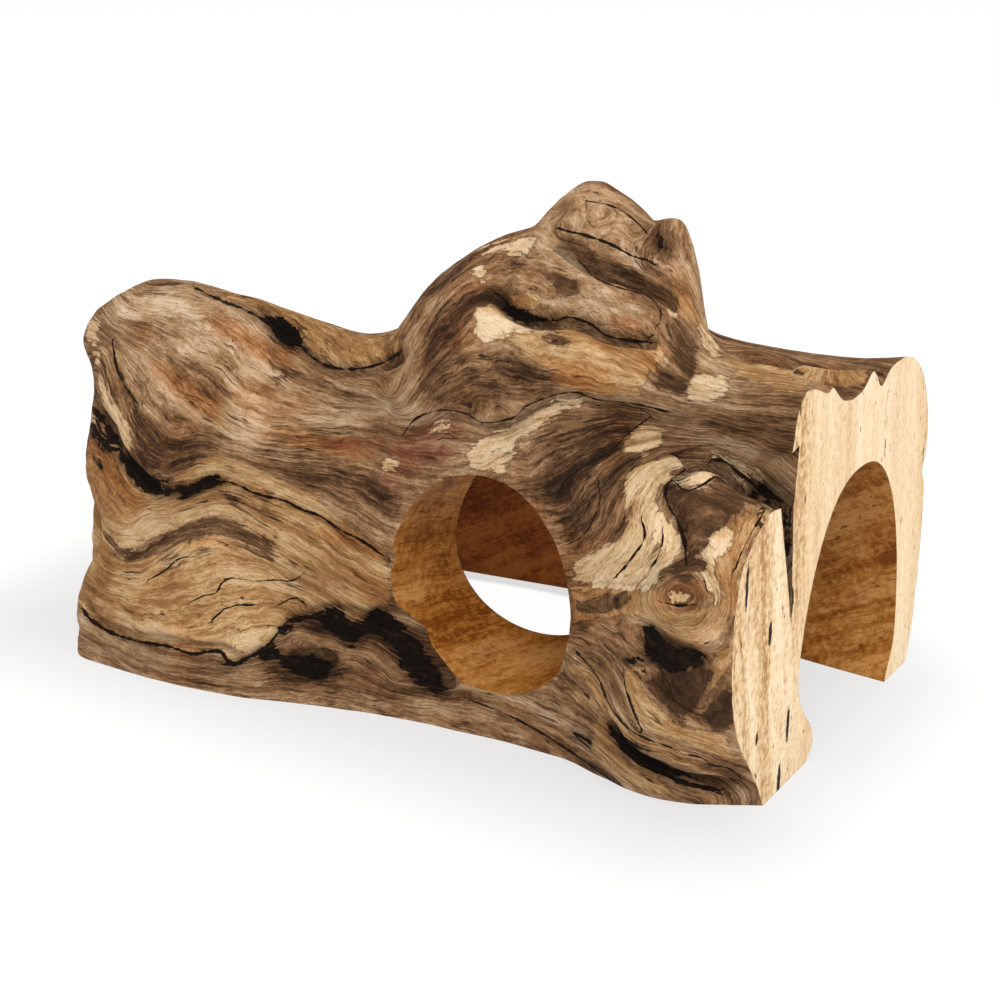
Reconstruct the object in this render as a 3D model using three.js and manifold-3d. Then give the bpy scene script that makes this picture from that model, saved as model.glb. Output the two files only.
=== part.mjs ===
// A hide for a small animal, carved from one block of java wood, the hard root wood of the coffee tree.
// The outside is the weathered root as it grew. The right end is sawn flat, an arched chamber is hollowed out
// from that end and from below, and a round hole is cut through the front wall.
// Millimetres. X runs along the block with the sawn end at +X, Y from the front to the back, Z up.
// The origin is under the middle of the block, on the surface that it stands on.
import * as THREE from 'three';
import Module from 'manifold-3d';
import { mergeVertices } from 'three/addons/utils/BufferGeometryUtils.js';

const wasm = await Module();
wasm.setup();

const END_X = 153;            // plane of the sawn end
const LEFT_X = -153.5;        // tip of the rounded end
const CAP_X = -110;           // where the rounded end starts
const CAP_POWER = 2.45;       // squareness of the rounded end
const OVERRUN = 9;            // how far the uncut block passes the saw planes
const STEP = 5.2;             // spacing of the sections along the block
const CAP_STEPS = 9;
const HEART = [20, 60];       // y and z of the middle of the sections

// Lines that run along the block on its surface, as [x, y, z]. Together they carry every section.
const RAILS = [
  { name: 'front sole', facets: 3, knots: [[-110, -74, -12], [-75, -67, -13], [-40, -65, -13], [8, -56, -13],
    [40, -50, -13], [80, -44, -12], [130, -46, -12], [160, -32, -9]] },
  { name: 'front foot', facets: 7, knots: [[-110, -88, 10], [-79, -90, 10], [-47, -85, 10], [-16, -73, 10],
    [12, -65, 10], [42, -62, 10], [80, -63, 10], [99, -69, 10], [115, -73, 10], [131, -71, 11], [145, -66, 13],
    [160, -58, 14]] },
  { name: 'front belly', facets: 8, knots: [[-110, -77, 44], [-75, -80, 44], [-40, -75, 44], [-10, -65, 44],
    [20, -60, 44], [50, -60, 44], [80, -66, 44], [110, -78, 46], [135, -82, 48], [160, -82, 48]] },
  { name: 'front side', facets: 7, knots: [[-110, -68, 84], [-75, -73, 82], [-40, -66, 82], [-10, -58, 84],
    [20, -56, 88], [50, -58, 92], [80, -64, 90], [110, -76, 88], [135, -79, 89], [160, -78, 90]] },
  { name: 'front shoulder', facets: 7, knots: [[-110, -52, 117], [-75, -56, 114], [-40, -52, 112], [-10, -50, 116],
    [20, -50, 132], [50, -47, 140], [80, -50, 138], [105, -55, 120], [135, -52, 112], [160, -50, 110]] },
  { name: 'front ridge', facets: 6, knots: [[-110, -32, 137], [-75, -32, 134], [-40, -31, 130], [-20, -28, 128],
    [-6, -22, 134], [3, -14, 151], [24, -12, 165], [40, -12, 172], [48, -10, 181], [60, -10, 188], [72, -10, 183],
    [82, -10, 177], [91, -11, 178], [97, -13, 175], [101, -15, 168], [104, -18, 157], [109, -24, 148],
    [120, -31, 142], [134, -35, 139], [151, -38, 136], [160, -38, 135]] },
  { name: 'valley', facets: 6, knots: [[-110, 5, 123], [-75, 6, 116], [-40, 8, 110], [-10, 14, 116], [20, 20, 136],
    [50, 20, 156], [76, 18, 156], [88, 14, 139], [97, 8, 127], [107, 4, 124], [135, 3, 123], [160, 2, 124]] },
  { name: 'back ridge', facets: 5, knots: [[-110, 45, 102], [-75, 46, 103], [-40, 48, 111], [-10, 50, 119],
    [20, 50, 124], [50, 50, 126], [90, 49, 124], [135, 51, 124], [160, 55, 127]] },
  { name: 'back shoulder', facets: 5, knots: [[-110, 66, 94], [-75, 68, 91], [-40, 71, 95], [20, 75, 103],
    [90, 76, 105], [160, 77, 104]] },
  { name: 'back side', facets: 6, knots: [[-110, 75, 56], [-75, 80, 56], [-40, 84, 58], [20, 86, 60], [90, 84, 60],
    [160, 82, 62]] },
  { name: 'back foot', facets: 3, knots: [[-110, 74, 12], [-75, 81, 10], [-40, 85, 10], [20, 87, 11], [90, 84, 11],
    [160, 79, 11]] },
  { name: 'back sole', facets: 3, knots: [[-110, 54, -12], [20, 62, -13], [160, 58, -12]] },
];

// The chamber: [x, front wall, back wall, crown].
const CHAMBER = [[-100, -44, 52, 84], [-60, -42, 60, 90], [-20, -36, 66, 96], [20, -28, 71, 100], [55, -25, 71, 101],
  [90, -28, 68, 100], [125, -32, 64, 98], [153, -33, 62, 97]];
const CHAMBER_CAP_X = -96;
const CHAMBER_CAP = 24;
const CHAMBER_STEPS = 12;
const ARCH_FACETS = 34;
const ARCH_POWER = 2.35;
const TOE = 19;               // how far the front leg's foot turns in at the sawn end
const TOE_RUN = 26;
const TOE_Z = 6;
const TOE_REACH_DOWN = 10;
const TOE_REACH_UP = 17;
const HEEL = 7;               // how far the back wall's foot comes in near the sawn end
const HEEL_FROM = 70;
const HEEL_TO = 120;
const HEEL_REACH = 10;

// The doorway: [x, y, z, half width, half height] of its rings.
const DOORWAY = [[44, -115, 50, 43, 41], [49.5, -58, 57, 39.5, 38], [49.5, -25, 61.5, 36.8, 36], [52, 6, 66, 36, 36]];
const DOORWAY_FACETS = 40;
const FAR = 400;

// The split between the burl and the wall above it: [x, mouth y, mouth z, share of its full depth and width].
const SPLIT = [[165, -48, 108, 1], [153, -48, 108, 1], [140, -52, 110, 0.72], [126, -52, 113, 0.45], [112, -55, 113, 0.14]];
// Its full section, as y and z from the mouth.
const SPLIT_SHAPE = [[-9, 9], [7, 12], [5, -8], [7, -28], [9, -50], [3, -30], [-4, -8]];

// Swellings (rise above 0) and creases (below 0) of the outside, each along a path of [x, y, z] points.
// They fade over their reach.
const RELIEF = [
  { name: 'left swelling', rise: 4, reach: 36, path: [[-72, -56, 112]] },
  { name: 'knob', rise: 11, reach: 13, path: [[-128, -45, 117]] },
  { name: 'knob rib', rise: 3, reach: 7, path: [[-121, -60, 117], [-116, -63, 108], [-108, -67, 98], [-99, -71, 88]] },
  { name: 'hollow by the knob rib', rise: -4, reach: 15, path: [[-85, -71, 83]] },
  { name: 'wavy crease', rise: -5.5, reach: 5, path: [[-123, -63, 89], [-115, -66, 85], [-108, -67, 76], [-100, -68, 69],
    [-86, -74, 69], [-76, -75, 72], [-66, -74, 75], [-57, -73, 78], [-45, -67, 74], [-34, -63, 72], [-19, -59, 67],
    [7, -57, 56]] },
  { name: 'wavy lip', rise: 3, reach: 7, path: [[-82, -74, 75], [-70, -73, 82], [-59, -71, 85], [-48, -69, 84], [-38, -66, 79]] },
  { name: 'top crease', rise: -5.5, reach: 5, path: [[-92, -34, 136], [-80, -32, 132], [-64, -35, 129], [-51, -39, 125],
    [-42, -40, 123], [-35, -41, 119], [-27, -42, 118], [-16, -42, 119], [-5, -42, 123], [2, -42, 127]] },
  { name: 'pale crest', rise: 3.5, reach: 8, path: [[-112, -74, 59], [-94, -78, 56], [-80, -74, 62], [-57, -72, 70],
    [-39, -70, 67], [-17, -65, 58]] },
  { name: 'dark band', rise: -3, reach: 6, path: [[-108, -79, 47], [-103, -79, 42], [-93, -80, 44], [-83, -81, 51],
    [-75, -77, 57], [-64, -76, 61], [-54, -75, 64], [-43, -74, 64], [-34, -72, 59]] },
  { name: 'ledge crease', rise: -5, reach: 4.5, path: [[-113, -84, 13], [-101, -86, 11], [-87, -88, 13], [-62, -87, 14],
    [-51, -84, 15], [-39, -79, 16], [-29, -74, 28], [-24, -71, 31], [-15, -66, 34], [1, -62, 33], [6, -61, 36],
    [18, -58, 27]] },
  { name: 'low hollow', rise: -7, reach: 6.5, path: [[-28, -77, 14], [-11, -70, 13]] },
  { name: 'hollow under the doorway', rise: -7, reach: 7, path: [[17, -61, 30], [29, -60, 15]] },
  { name: 'waist of the left foot', rise: -11, reach: 14, path: [[-133, -68, 42], [-136, -67, 26]] },
  { name: 'left foot, tucked in', rise: -4.5, reach: 11, path: [[-129, -73, 47], [-133, -73, 24], [-129, -80, 3]] },
  { name: 'left base corner', rise: -4.5, reach: 8, path: [[-130, -79, -2]] },
  { name: 'hump fold, upper', rise: -4.5, reach: 4, path: [[64, -26, 175], [74, -25, 172], [91, -22, 166]] },
  { name: 'hump fold, middle', rise: -7, reach: 5.5, path: [[58, -27, 173], [64, -30, 168], [78, -31, 164], [90, -29, 160],
    [97, -25, 153]] },
  { name: 'hump fold, lower', rise: -6, reach: 5, path: [[43, -38, 155], [48, -41, 149], [62, -44, 148], [80, -44, 147],
    [98, -38, 144]] },
  { name: 'hump rib, upper', rise: 5, reach: 6, path: [[56, -33, 165], [70, -34, 162], [83, -36, 157], [94, -32, 151]] },
  { name: 'hump rib, lower', rise: 4, reach: 7, path: [[34, -42, 146], [47, -44, 143], [64, -47, 141], [85, -48, 138]] },
  { name: 'hump rib, back', rise: 4, reach: 9, path: [[20, 12, 152], [50, 16, 162], [80, 10, 160]] },
  { name: 'hump fold, back', rise: -5, reach: 7, path: [[5, 30, 130], [35, 32, 142], [70, 30, 142], [95, 20, 130]] },
  { name: 'brow crease', rise: -5, reach: 6.5, path: [[8, -56, 82], [20, -56, 92], [35, -55, 104], [50, -55, 116],
    [72, -55, 127], [96, -52, 129], [111, -48, 125]] },
  { name: 'crown knob', rise: 4, reach: 7, path: [[94, -12, 174]] },
  { name: 'crown pit', rise: -4, reach: 5, path: [[89, -19, 169]] },
  { name: 'burl', rise: 2.5, reach: 24, path: [[132, -76, 90]] },
  { name: 'burl crease', rise: -5.5, reach: 4.5, path: [[126, -79, 84], [121, -70, 99], [119, -60, 109], [129, -52, 114],
    [140, -53, 110], [153, -51, 107]] },
  { name: 'burl pits', rise: -5, reach: 6, path: [[126, -82, 63], [139, -83, 60]] },
  { name: 'burl knot', rise: -2.5, reach: 6, path: [[134, -82, 79]] },
  { name: 'foot crease', rise: -6, reach: 5, path: [[107, -75, 26], [114, -76, 20], [129, -73, 14], [146, -61, 6]] },
  { name: 'shelf rib, front', rise: 5, reach: 5, path: [[118, -13, 126], [160, -14, 126]] },
  { name: 'shelf rib, middle', rise: 5, reach: 5, path: [[128, 19, 124], [160, 19, 124]] },
  { name: 'shelf crease', rise: -4, reach: 5, path: [[70, 36, 128], [115, 34, 124], [160, 29, 124]] },
  { name: 'back crease, upper', rise: -5, reach: 6, path: [[-125, 55, 70], [-80, 78, 76], [-30, 82, 68], [30, 85, 78],
    [90, 82, 70], [160, 80, 78]] },
  { name: 'back crease, lower', rise: -5, reach: 5, path: [[-100, 74, 26], [-50, 84, 34], [10, 87, 22], [70, 86, 30],
    [120, 81, 18]] },
  { name: 'back hollow', rise: -6, reach: 9, path: [[-20, 86, 50], [-4, 87, 46]] },
  { name: 'back swelling', rise: 2.5, reach: 26, path: [[48, 83, 54]] },
  { name: 'left end crease', rise: -5, reach: 6, path: [[-140, -40, 66], [-150, -5, 74], [-152, 30, 62], [-140, 55, 66]] },
  { name: 'left end hollow', rise: -5, reach: 10, path: [[-146, 10, 104]] },
];

// Cubic through [x, value...] knots, with the slope at each knot taken from its neighbours. Level beyond the ends.
function along(knots, x) {
  const last = knots.length - 1;
  if (x <= knots[0][0]) return knots[0].slice(1);
  if (x >= knots[last][0]) return knots[last].slice(1);
  let i = 0;
  while (knots[i + 1][0] < x) i += 1;
  const slope = (k, c) => {
    const a = knots[Math.max(k - 1, 0)];
    const b = knots[Math.min(k + 1, last)];
    return (b[c] - a[c]) / (b[0] - a[0]);
  };
  const [p, q] = [knots[i], knots[i + 1]];
  const h = q[0] - p[0];
  const t = (x - p[0]) / h;
  return p.slice(1).map((_, n) => {
    const c = n + 1;
    return (2 * t ** 3 - 3 * t ** 2 + 1) * p[c] + (t ** 3 - 2 * t ** 2 + t) * h * slope(i, c)
      + (-2 * t ** 3 + 3 * t ** 2) * q[c] + (t ** 3 - t ** 2) * h * slope(i + 1, c);
  });
}

// The closed outline of the section at x, as [y, z] points: a Catmull-Rom loop through the rails.
function section(x) {
  const posts = RAILS.map((rail) => along(rail.knots, x));
  const count = posts.length;
  const outline = [];
  RAILS.forEach((rail, k) => {
    const [a, b, c, d] = [k - 1, k, k + 1, k + 2].map((n) => posts[(n + count) % count]);
    for (let n = 0; n < rail.facets; n += 1) {
      const t = n / rail.facets;
      outline.push([0, 1].map((i) => 0.5 * (2 * b[i] + (c[i] - a[i]) * t
        + (2 * a[i] - 5 * b[i] + 4 * c[i] - d[i]) * t ** 2 + (3 * b[i] - a[i] - 3 * c[i] + d[i]) * t ** 3)));
    }
  });
  return outline;
}

// A solid skinned over rings of equal length, closed by a fan at each end.
function skin(rings) {
  const n = rings[0].length;
  const position = rings.flat(2);
  const index = [];
  for (let r = 0; r + 1 < rings.length; r += 1) {
    for (let k = 0; k < n; k += 1) {
      const [a, b] = [r * n + k, r * n + ((k + 1) % n)];
      index.push(a, b, a + n, b, b + n, a + n);
    }
  }
  [[0, false], [rings.length - 1, true]].forEach(([r, far]) => {
    const middle = rings[r].reduce((s, p) => s.map((v, i) => v + p[i] / n), [0, 0, 0]);
    const hub = position.length / 3;
    position.push(...middle);
    for (let k = 0; k < n; k += 1) {
      const [a, b] = [r * n + k, r * n + ((k + 1) % n)];
      index.push(...(far ? [a, b, hub] : [b, a, hub]));
    }
  });
  const corner = (k) => new THREE.Vector3().fromArray(position, 3 * index[k]);
  let volume = 0;
  for (let k = 0; k < index.length; k += 3) {
    volume += corner(k).dot(corner(k + 1).cross(corner(k + 2)));
  }
  if (volume < 0) index.reverse();
  const geometry = new THREE.BufferGeometry();
  geometry.setAttribute('position', new THREE.Float32BufferAttribute(position, 3));
  geometry.setIndex(index);
  return geometry;
}

function toSolid(geometry) {
  const bare = geometry.clone();
  bare.deleteAttribute('normal');
  bare.deleteAttribute('uv');
  const merged = mergeVertices(bare, 1e-4);
  return new wasm.Manifold(new wasm.Mesh({
    numProp: 3,
    vertProperties: new Float32Array(merged.attributes.position.array),
    triVerts: new Uint32Array(merged.index.array),
  }));
}

function toGeometry(solid) {
  const mesh = solid.getMesh();
  const geometry = new THREE.BufferGeometry();
  geometry.setAttribute('position', new THREE.BufferAttribute(mesh.vertProperties, 3));
  geometry.setIndex(new THREE.BufferAttribute(mesh.triVerts, 1));
  return geometry;
}

const toVector = (p) => new THREE.Vector3(...p);

function distanceToPath(point, path) {
  if (path.length === 1) return point.distanceTo(toVector(path[0]));
  const nearest = new THREE.Vector3();
  return Math.min(...path.slice(1).map((end, i) => {
    new THREE.Line3(toVector(path[i]), toVector(end)).closestPointToPoint(point, true, nearest);
    return nearest.distanceTo(point);
  }));
}

// Moves a point of the smooth surface out or in, away from the heart of the root, as the relief says.
function weather([x, y, z]) {
  const point = new THREE.Vector3(x, y, z);
  const out = new THREE.Vector3(2 * Math.min(x - CAP_X, 0), y - HEART[0], z - HEART[1]).normalize();
  const rise = RELIEF.reduce((sum, mark) => {
    const away = distanceToPath(point, mark.path) / mark.reach;
    return sum + (away < 3 ? mark.rise * Math.exp(-away * away) : 0);
  }, 0);
  return point.addScaledVector(out, rise).toArray();
}

// The root before any saw touches it.
function rootBlock() {
  const rings = [];
  for (let i = 1; i < CAP_STEPS; i += 1) {
    const turn = (i / CAP_STEPS) * Math.PI / 2;
    const x = CAP_X - (CAP_X - LEFT_X) * Math.cos(turn) ** (2 / CAP_POWER);
    const shrink = Math.sin(turn) ** (2 / CAP_POWER);
    rings.push(section(x).map(([y, z]) => [x, HEART[0] + (y - HEART[0]) * shrink, HEART[1] + (z - HEART[1]) * shrink]));
  }
  const count = Math.round((END_X + OVERRUN - CAP_X) / STEP);
  for (let i = 0; i <= count; i += 1) {
    const x = CAP_X + (i / count) * (END_X + OVERRUN - CAP_X);
    rings.push(section(x).map(([y, z]) => [x, y, z]));
  }
  return toSolid(skin(rings.map((ring) => ring.map(weather))));
}

// The arched chamber, open below and at the sawn end.
function chamber() {
  const arch = (x, shrink) => {
    const [front, back, top] = along(CHAMBER, x);
    const middle = (front + back) / 2;
    const half = (back - front) / 2 * shrink;
    const toe = TOE * THREE.MathUtils.smoothstep(x, END_X - TOE_RUN, END_X);
    const heel = HEEL * THREE.MathUtils.smoothstep(x, HEEL_FROM, HEEL_TO);
    const outline = [[middle + half - heel, -OVERRUN]];
    for (let i = 0; i <= ARCH_FACETS; i += 1) {
      const even = i / ARCH_FACETS;
      const turn = Math.PI * even - 0.4 * Math.sin(2 * Math.PI * even);
      const c = Math.cos(turn);
      const y = middle + half * Math.sign(c) * Math.abs(c) ** (2 / ARCH_POWER);
      const z = top * shrink * Math.sin(turn) ** (2 / ARCH_POWER);
      const toeReach = z > TOE_Z ? TOE_REACH_UP : TOE_REACH_DOWN;
      const foot = c < 0 ? toe * Math.exp(-(((z - TOE_Z) / toeReach) ** 2)) : -heel * Math.exp(-((z / HEEL_REACH) ** 2));
      outline.push([y + foot, z]);
    }
    outline.push([middle - half, -OVERRUN]);
    return outline.map(([y, z]) => [x, y, z]);
  };
  const rings = [];
  for (let i = 1; i < CAP_STEPS; i += 1) {
    const turn = (i / CAP_STEPS) * Math.PI / 2;
    const x = CHAMBER_CAP_X - CHAMBER_CAP * Math.cos(turn);
    rings.push(arch(x, Math.sin(turn) ** (2 / CAP_POWER)));
  }
  for (let i = 0; i <= CHAMBER_STEPS; i += 1) {
    rings.push(arch(CHAMBER_CAP_X + (i / CHAMBER_STEPS) * (END_X + OVERRUN - CHAMBER_CAP_X), 1));
  }
  return toSolid(skin(rings));
}

// The round doorway through the front wall, narrowing and leaning a little on its way in.
function doorway() {
  const rings = DOORWAY.map(([x, y, z, halfWidth, halfHeight]) => {
    const ring = [];
    for (let i = 0; i < DOORWAY_FACETS; i += 1) {
      const turn = (i / DOORWAY_FACETS) * 2 * Math.PI;
      ring.push([x + halfWidth * Math.cos(turn), y, z + halfHeight * Math.sin(turn)]);
    }
    return ring;
  });
  return toSolid(skin(rings));
}

// The wedge that opens the split at the sawn end.
function splitWedge() {
  return toSolid(skin(SPLIT.map(([x, y, z, share]) => SPLIT_SHAPE.map(([dy, dz]) => [x, y + dy * share, z + dz * share]))));
}

function slab(low, high) {
  const size = high.map((v, i) => v - low[i]);
  const box = new THREE.BoxGeometry(...size);
  box.translate(...low.map((v, i) => v + size[i] / 2));
  return toSolid(box);
}

const endSaw = slab([END_X, -FAR, -FAR], [FAR, FAR, FAR]);
const baseSaw = slab([-FAR, -FAR, -FAR], [FAR, FAR, 0]);
const block = [endSaw, baseSaw, chamber(), doorway(), splitWedge()]
  .reduce((wood, cutter) => wood.subtract(cutter), rootBlock());
const hide = new THREE.Mesh(toGeometry(block), new THREE.MeshStandardMaterial({ color: 0x9c7448, roughness: 0.75, metalness: 0 }));
hide.name = 'java_wood_cave';
const model = new THREE.Group();
model.add(hide);
export default model;
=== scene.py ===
"""A java wood hide for a small animal, made as one piece of weathered root wood.

The block is skinned over the same rails as the solid in the frame, with finer creases and swellings, and is
then sawn, hollowed and drilled. Lengths are millimetres in the same axes as the frame: X along the block with
the sawn end at +X, Y from the front to the back, Z up.
"""

import logging
import math
from dataclasses import dataclass, field
from enum import Enum
from typing import Union

import bmesh
import bpy
import numpy as np
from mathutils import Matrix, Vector, kdtree, noise
from mathutils.bvhtree import BVHTree


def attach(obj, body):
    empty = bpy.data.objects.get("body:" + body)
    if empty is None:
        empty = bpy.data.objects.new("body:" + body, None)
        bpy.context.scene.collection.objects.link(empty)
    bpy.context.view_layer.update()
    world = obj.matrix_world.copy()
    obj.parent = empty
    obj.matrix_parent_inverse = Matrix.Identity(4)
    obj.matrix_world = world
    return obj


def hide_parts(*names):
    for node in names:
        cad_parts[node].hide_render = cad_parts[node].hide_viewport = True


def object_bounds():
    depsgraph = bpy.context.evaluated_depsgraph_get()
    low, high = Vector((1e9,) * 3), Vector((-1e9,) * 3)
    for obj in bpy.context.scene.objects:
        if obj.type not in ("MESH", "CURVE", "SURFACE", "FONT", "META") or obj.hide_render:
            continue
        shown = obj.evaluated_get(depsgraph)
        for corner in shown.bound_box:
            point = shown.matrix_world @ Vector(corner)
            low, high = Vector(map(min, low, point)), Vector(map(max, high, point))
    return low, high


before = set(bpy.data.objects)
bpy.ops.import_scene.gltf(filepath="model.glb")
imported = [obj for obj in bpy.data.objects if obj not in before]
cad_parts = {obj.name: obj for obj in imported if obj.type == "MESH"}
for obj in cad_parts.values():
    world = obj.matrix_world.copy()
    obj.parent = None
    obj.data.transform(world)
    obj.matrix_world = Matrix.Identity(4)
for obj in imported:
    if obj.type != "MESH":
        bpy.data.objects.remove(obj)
CAD_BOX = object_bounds()

log = logging.getLogger("hide")

MM = 0.001
PER_METRE = 1000.0
NODE = "java_wood_cave"
END_X = 153.0          # the sawn end
OVERRUN = 9.0          # how far the skin and the tools pass the saw cuts
CAP_POWER = 2.45       # how square the closed left ends of the skin and the chamber are
FAR = 400.0            # clear of the block on every side
NOWHERE = -30.0        # distance inside a patch where no patch is near

# The photograph's camera: pixels, millimetres and radians
PHOTO_SIZE = 1000.0
FOCAL_PIXELS = 1800.0
SENSOR = 36.0
AZIMUTH = math.radians(32.2)
PITCH = math.radians(20.0)
CAMERA_PLACE = np.array([356.1, -537.3, 294.3])
TURN_SINE, TURN_COSINE = math.sin(AZIMUTH), math.cos(AZIMUTH)
PITCH_SINE, PITCH_COSINE = math.sin(PITCH), math.cos(PITCH)
AHEAD = np.array([-TURN_SINE * PITCH_COSINE, TURN_COSINE * PITCH_COSINE, -PITCH_SINE])
SIDE = np.array([TURN_COSINE, TURN_SINE, 0.0])
DOWN = -np.array([-TURN_SINE * PITCH_SINE, TURN_COSINE * PITCH_SINE, PITCH_COSINE])


class View(Enum):
    """The view that a mark is drawn in."""

    PHOTO = "photo"      # pixels of the photograph
    BACK = "back"        # x and z, seen from the back
    LEFT = "left"        # y and z, seen from the left end
    TOP = "top"          # x and y, seen from above
    SPACE = "space"      # x, y and z, near the surface


class Look(Enum):
    """What a patch of the outside looks like."""

    LIGHT = "light"      # bleached by the weather, with soft edges
    # dark patches are weathered wood, and on the left side of the hump also painted shade
    DARK = "dark"        # darkened by the weather, with soft edges
    SHADE = "shade"      # darkened further, with soft edges
    RUST = "rust"        # orange-brown, with soft edges
    HONEY = "honey"      # clean honey-brown wood
    PALE = "pale"        # clean cream wood
    BARK = "bark"        # grey-brown skin left on clean wood
    # black pits and hollows: partly dark wood, partly painted shade in the hollows
    CHAR_AND_SHADE = "char_and_shade"        # black pits and hollows
    RED = "red"          # reddish knots


class Region(Enum):
    """The surfaces of the block, in the order of its material slots."""

    OUTSIDE = 0
    SAWN = 1
    CHAMBER = 2
    DOORWAY = 3


@dataclass(frozen=True)
class Rail:
    """A line along the block on its surface.

    Args:
        facets: steps of the coarse solid from this rail to the next round the section.
        knots: points [x, y, z].
    """

    name: str
    facets: int
    knots: tuple


@dataclass(frozen=True)
class Mark:
    """A swelling or crease of the outside.

    Args:
        rise: height in millimetres, below 0 for a crease.
        reach: distance over which it fades.
        path: points in the units of its view.
    """

    name: str
    rise: float
    reach: float
    path: tuple
    view: View = View.PHOTO


@dataclass(frozen=True)
class Crack:
    """A dark line on the outside.

    Args:
        width: full width in millimetres.
        path: points in the units of its view.
    """

    name: str
    width: float
    path: tuple
    view: View = View.PHOTO


@dataclass(frozen=True)
class Patch:
    """An area with a look of its own.

    Args:
        look: its finish.
        outline: closed outline in the units of its view.
    """

    name: str
    look: Look
    outline: tuple
    view: View = View.PHOTO


@dataclass(frozen=True)
class GrainLine:
    """A line that the grain follows, with its place across the grain in millimetres."""

    across: float
    path: tuple
    view: View = View.PHOTO


RAILS = (
    Rail("front sole", 3, (
        (-110, -74, -12), (-75, -67, -13), (-40, -65, -13), (8, -56, -13), (40, -50, -13), (80, -44, -12),
        (130, -46, -12), (160, -32, -9))),
    Rail("front foot", 7, (
        (-110, -88, 10), (-79, -90, 10), (-47, -85, 10), (-16, -73, 10), (12, -65, 10), (42, -62, 10),
        (80, -63, 10), (99, -69, 10), (115, -73, 10), (131, -71, 11), (145, -66, 13), (160, -58, 14))),
    Rail("front belly", 8, (
        (-110, -77, 44), (-75, -80, 44), (-40, -75, 44), (-10, -65, 44), (20, -60, 44), (50, -60, 44),
        (80, -66, 44), (110, -78, 46), (135, -82, 48), (160, -82, 48))),
    Rail("front side", 7, (
        (-110, -68, 84), (-75, -73, 82), (-40, -66, 82), (-10, -58, 84), (20, -56, 88), (50, -58, 92),
        (80, -64, 90), (110, -76, 88), (135, -79, 89), (160, -78, 90))),
    Rail("front shoulder", 7, (
        (-110, -52, 117), (-75, -56, 114), (-40, -52, 112), (-10, -50, 116), (20, -50, 132), (50, -47, 140),
        (80, -50, 138), (105, -55, 120), (135, -52, 112), (160, -50, 110))),
    Rail("front ridge", 6, (
        (-110, -32, 137), (-75, -32, 134), (-40, -31, 130), (-20, -28, 128), (-6, -22, 134), (3, -14, 151),
        (24, -12, 165), (40, -12, 172), (48, -10, 181), (60, -10, 188), (72, -10, 183), (82, -10, 177),
        (91, -11, 178), (97, -13, 175), (101, -15, 168), (104, -18, 157), (109, -24, 148), (120, -31, 142),
        (134, -35, 139), (151, -38, 136), (160, -38, 135))),
    Rail("valley", 6, (
        (-110, 5, 123), (-75, 6, 116), (-40, 8, 110), (-10, 14, 116), (20, 20, 136), (50, 20, 156),
        (76, 18, 156), (88, 14, 139), (97, 8, 127), (107, 4, 124), (135, 3, 123), (160, 2, 124))),
    Rail("back ridge", 5, (
        (-110, 45, 102), (-75, 46, 103), (-40, 48, 111), (-10, 50, 119), (20, 50, 124), (50, 50, 126),
        (90, 49, 124), (135, 51, 124), (160, 55, 127))),
    Rail("back shoulder", 5, (
        (-110, 66, 94), (-75, 68, 91), (-40, 71, 95), (20, 75, 103), (90, 76, 105), (160, 77, 104))),
    Rail("back side", 6, (
        (-110, 75, 56), (-75, 80, 56), (-40, 84, 58), (20, 86, 60), (90, 84, 60), (160, 82, 62))),
    Rail("back foot", 3, (
        (-110, 74, 12), (-75, 81, 10), (-40, 85, 10), (20, 87, 11), (90, 84, 11), (160, 79, 11))),
    Rail("back sole", 3, ((-110, 54, -12), (20, 62, -13), (160, 58, -12))),
)
BACK_RAILS = ("back ridge", "back shoulder", "back side", "back foot", "back sole")

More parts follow.
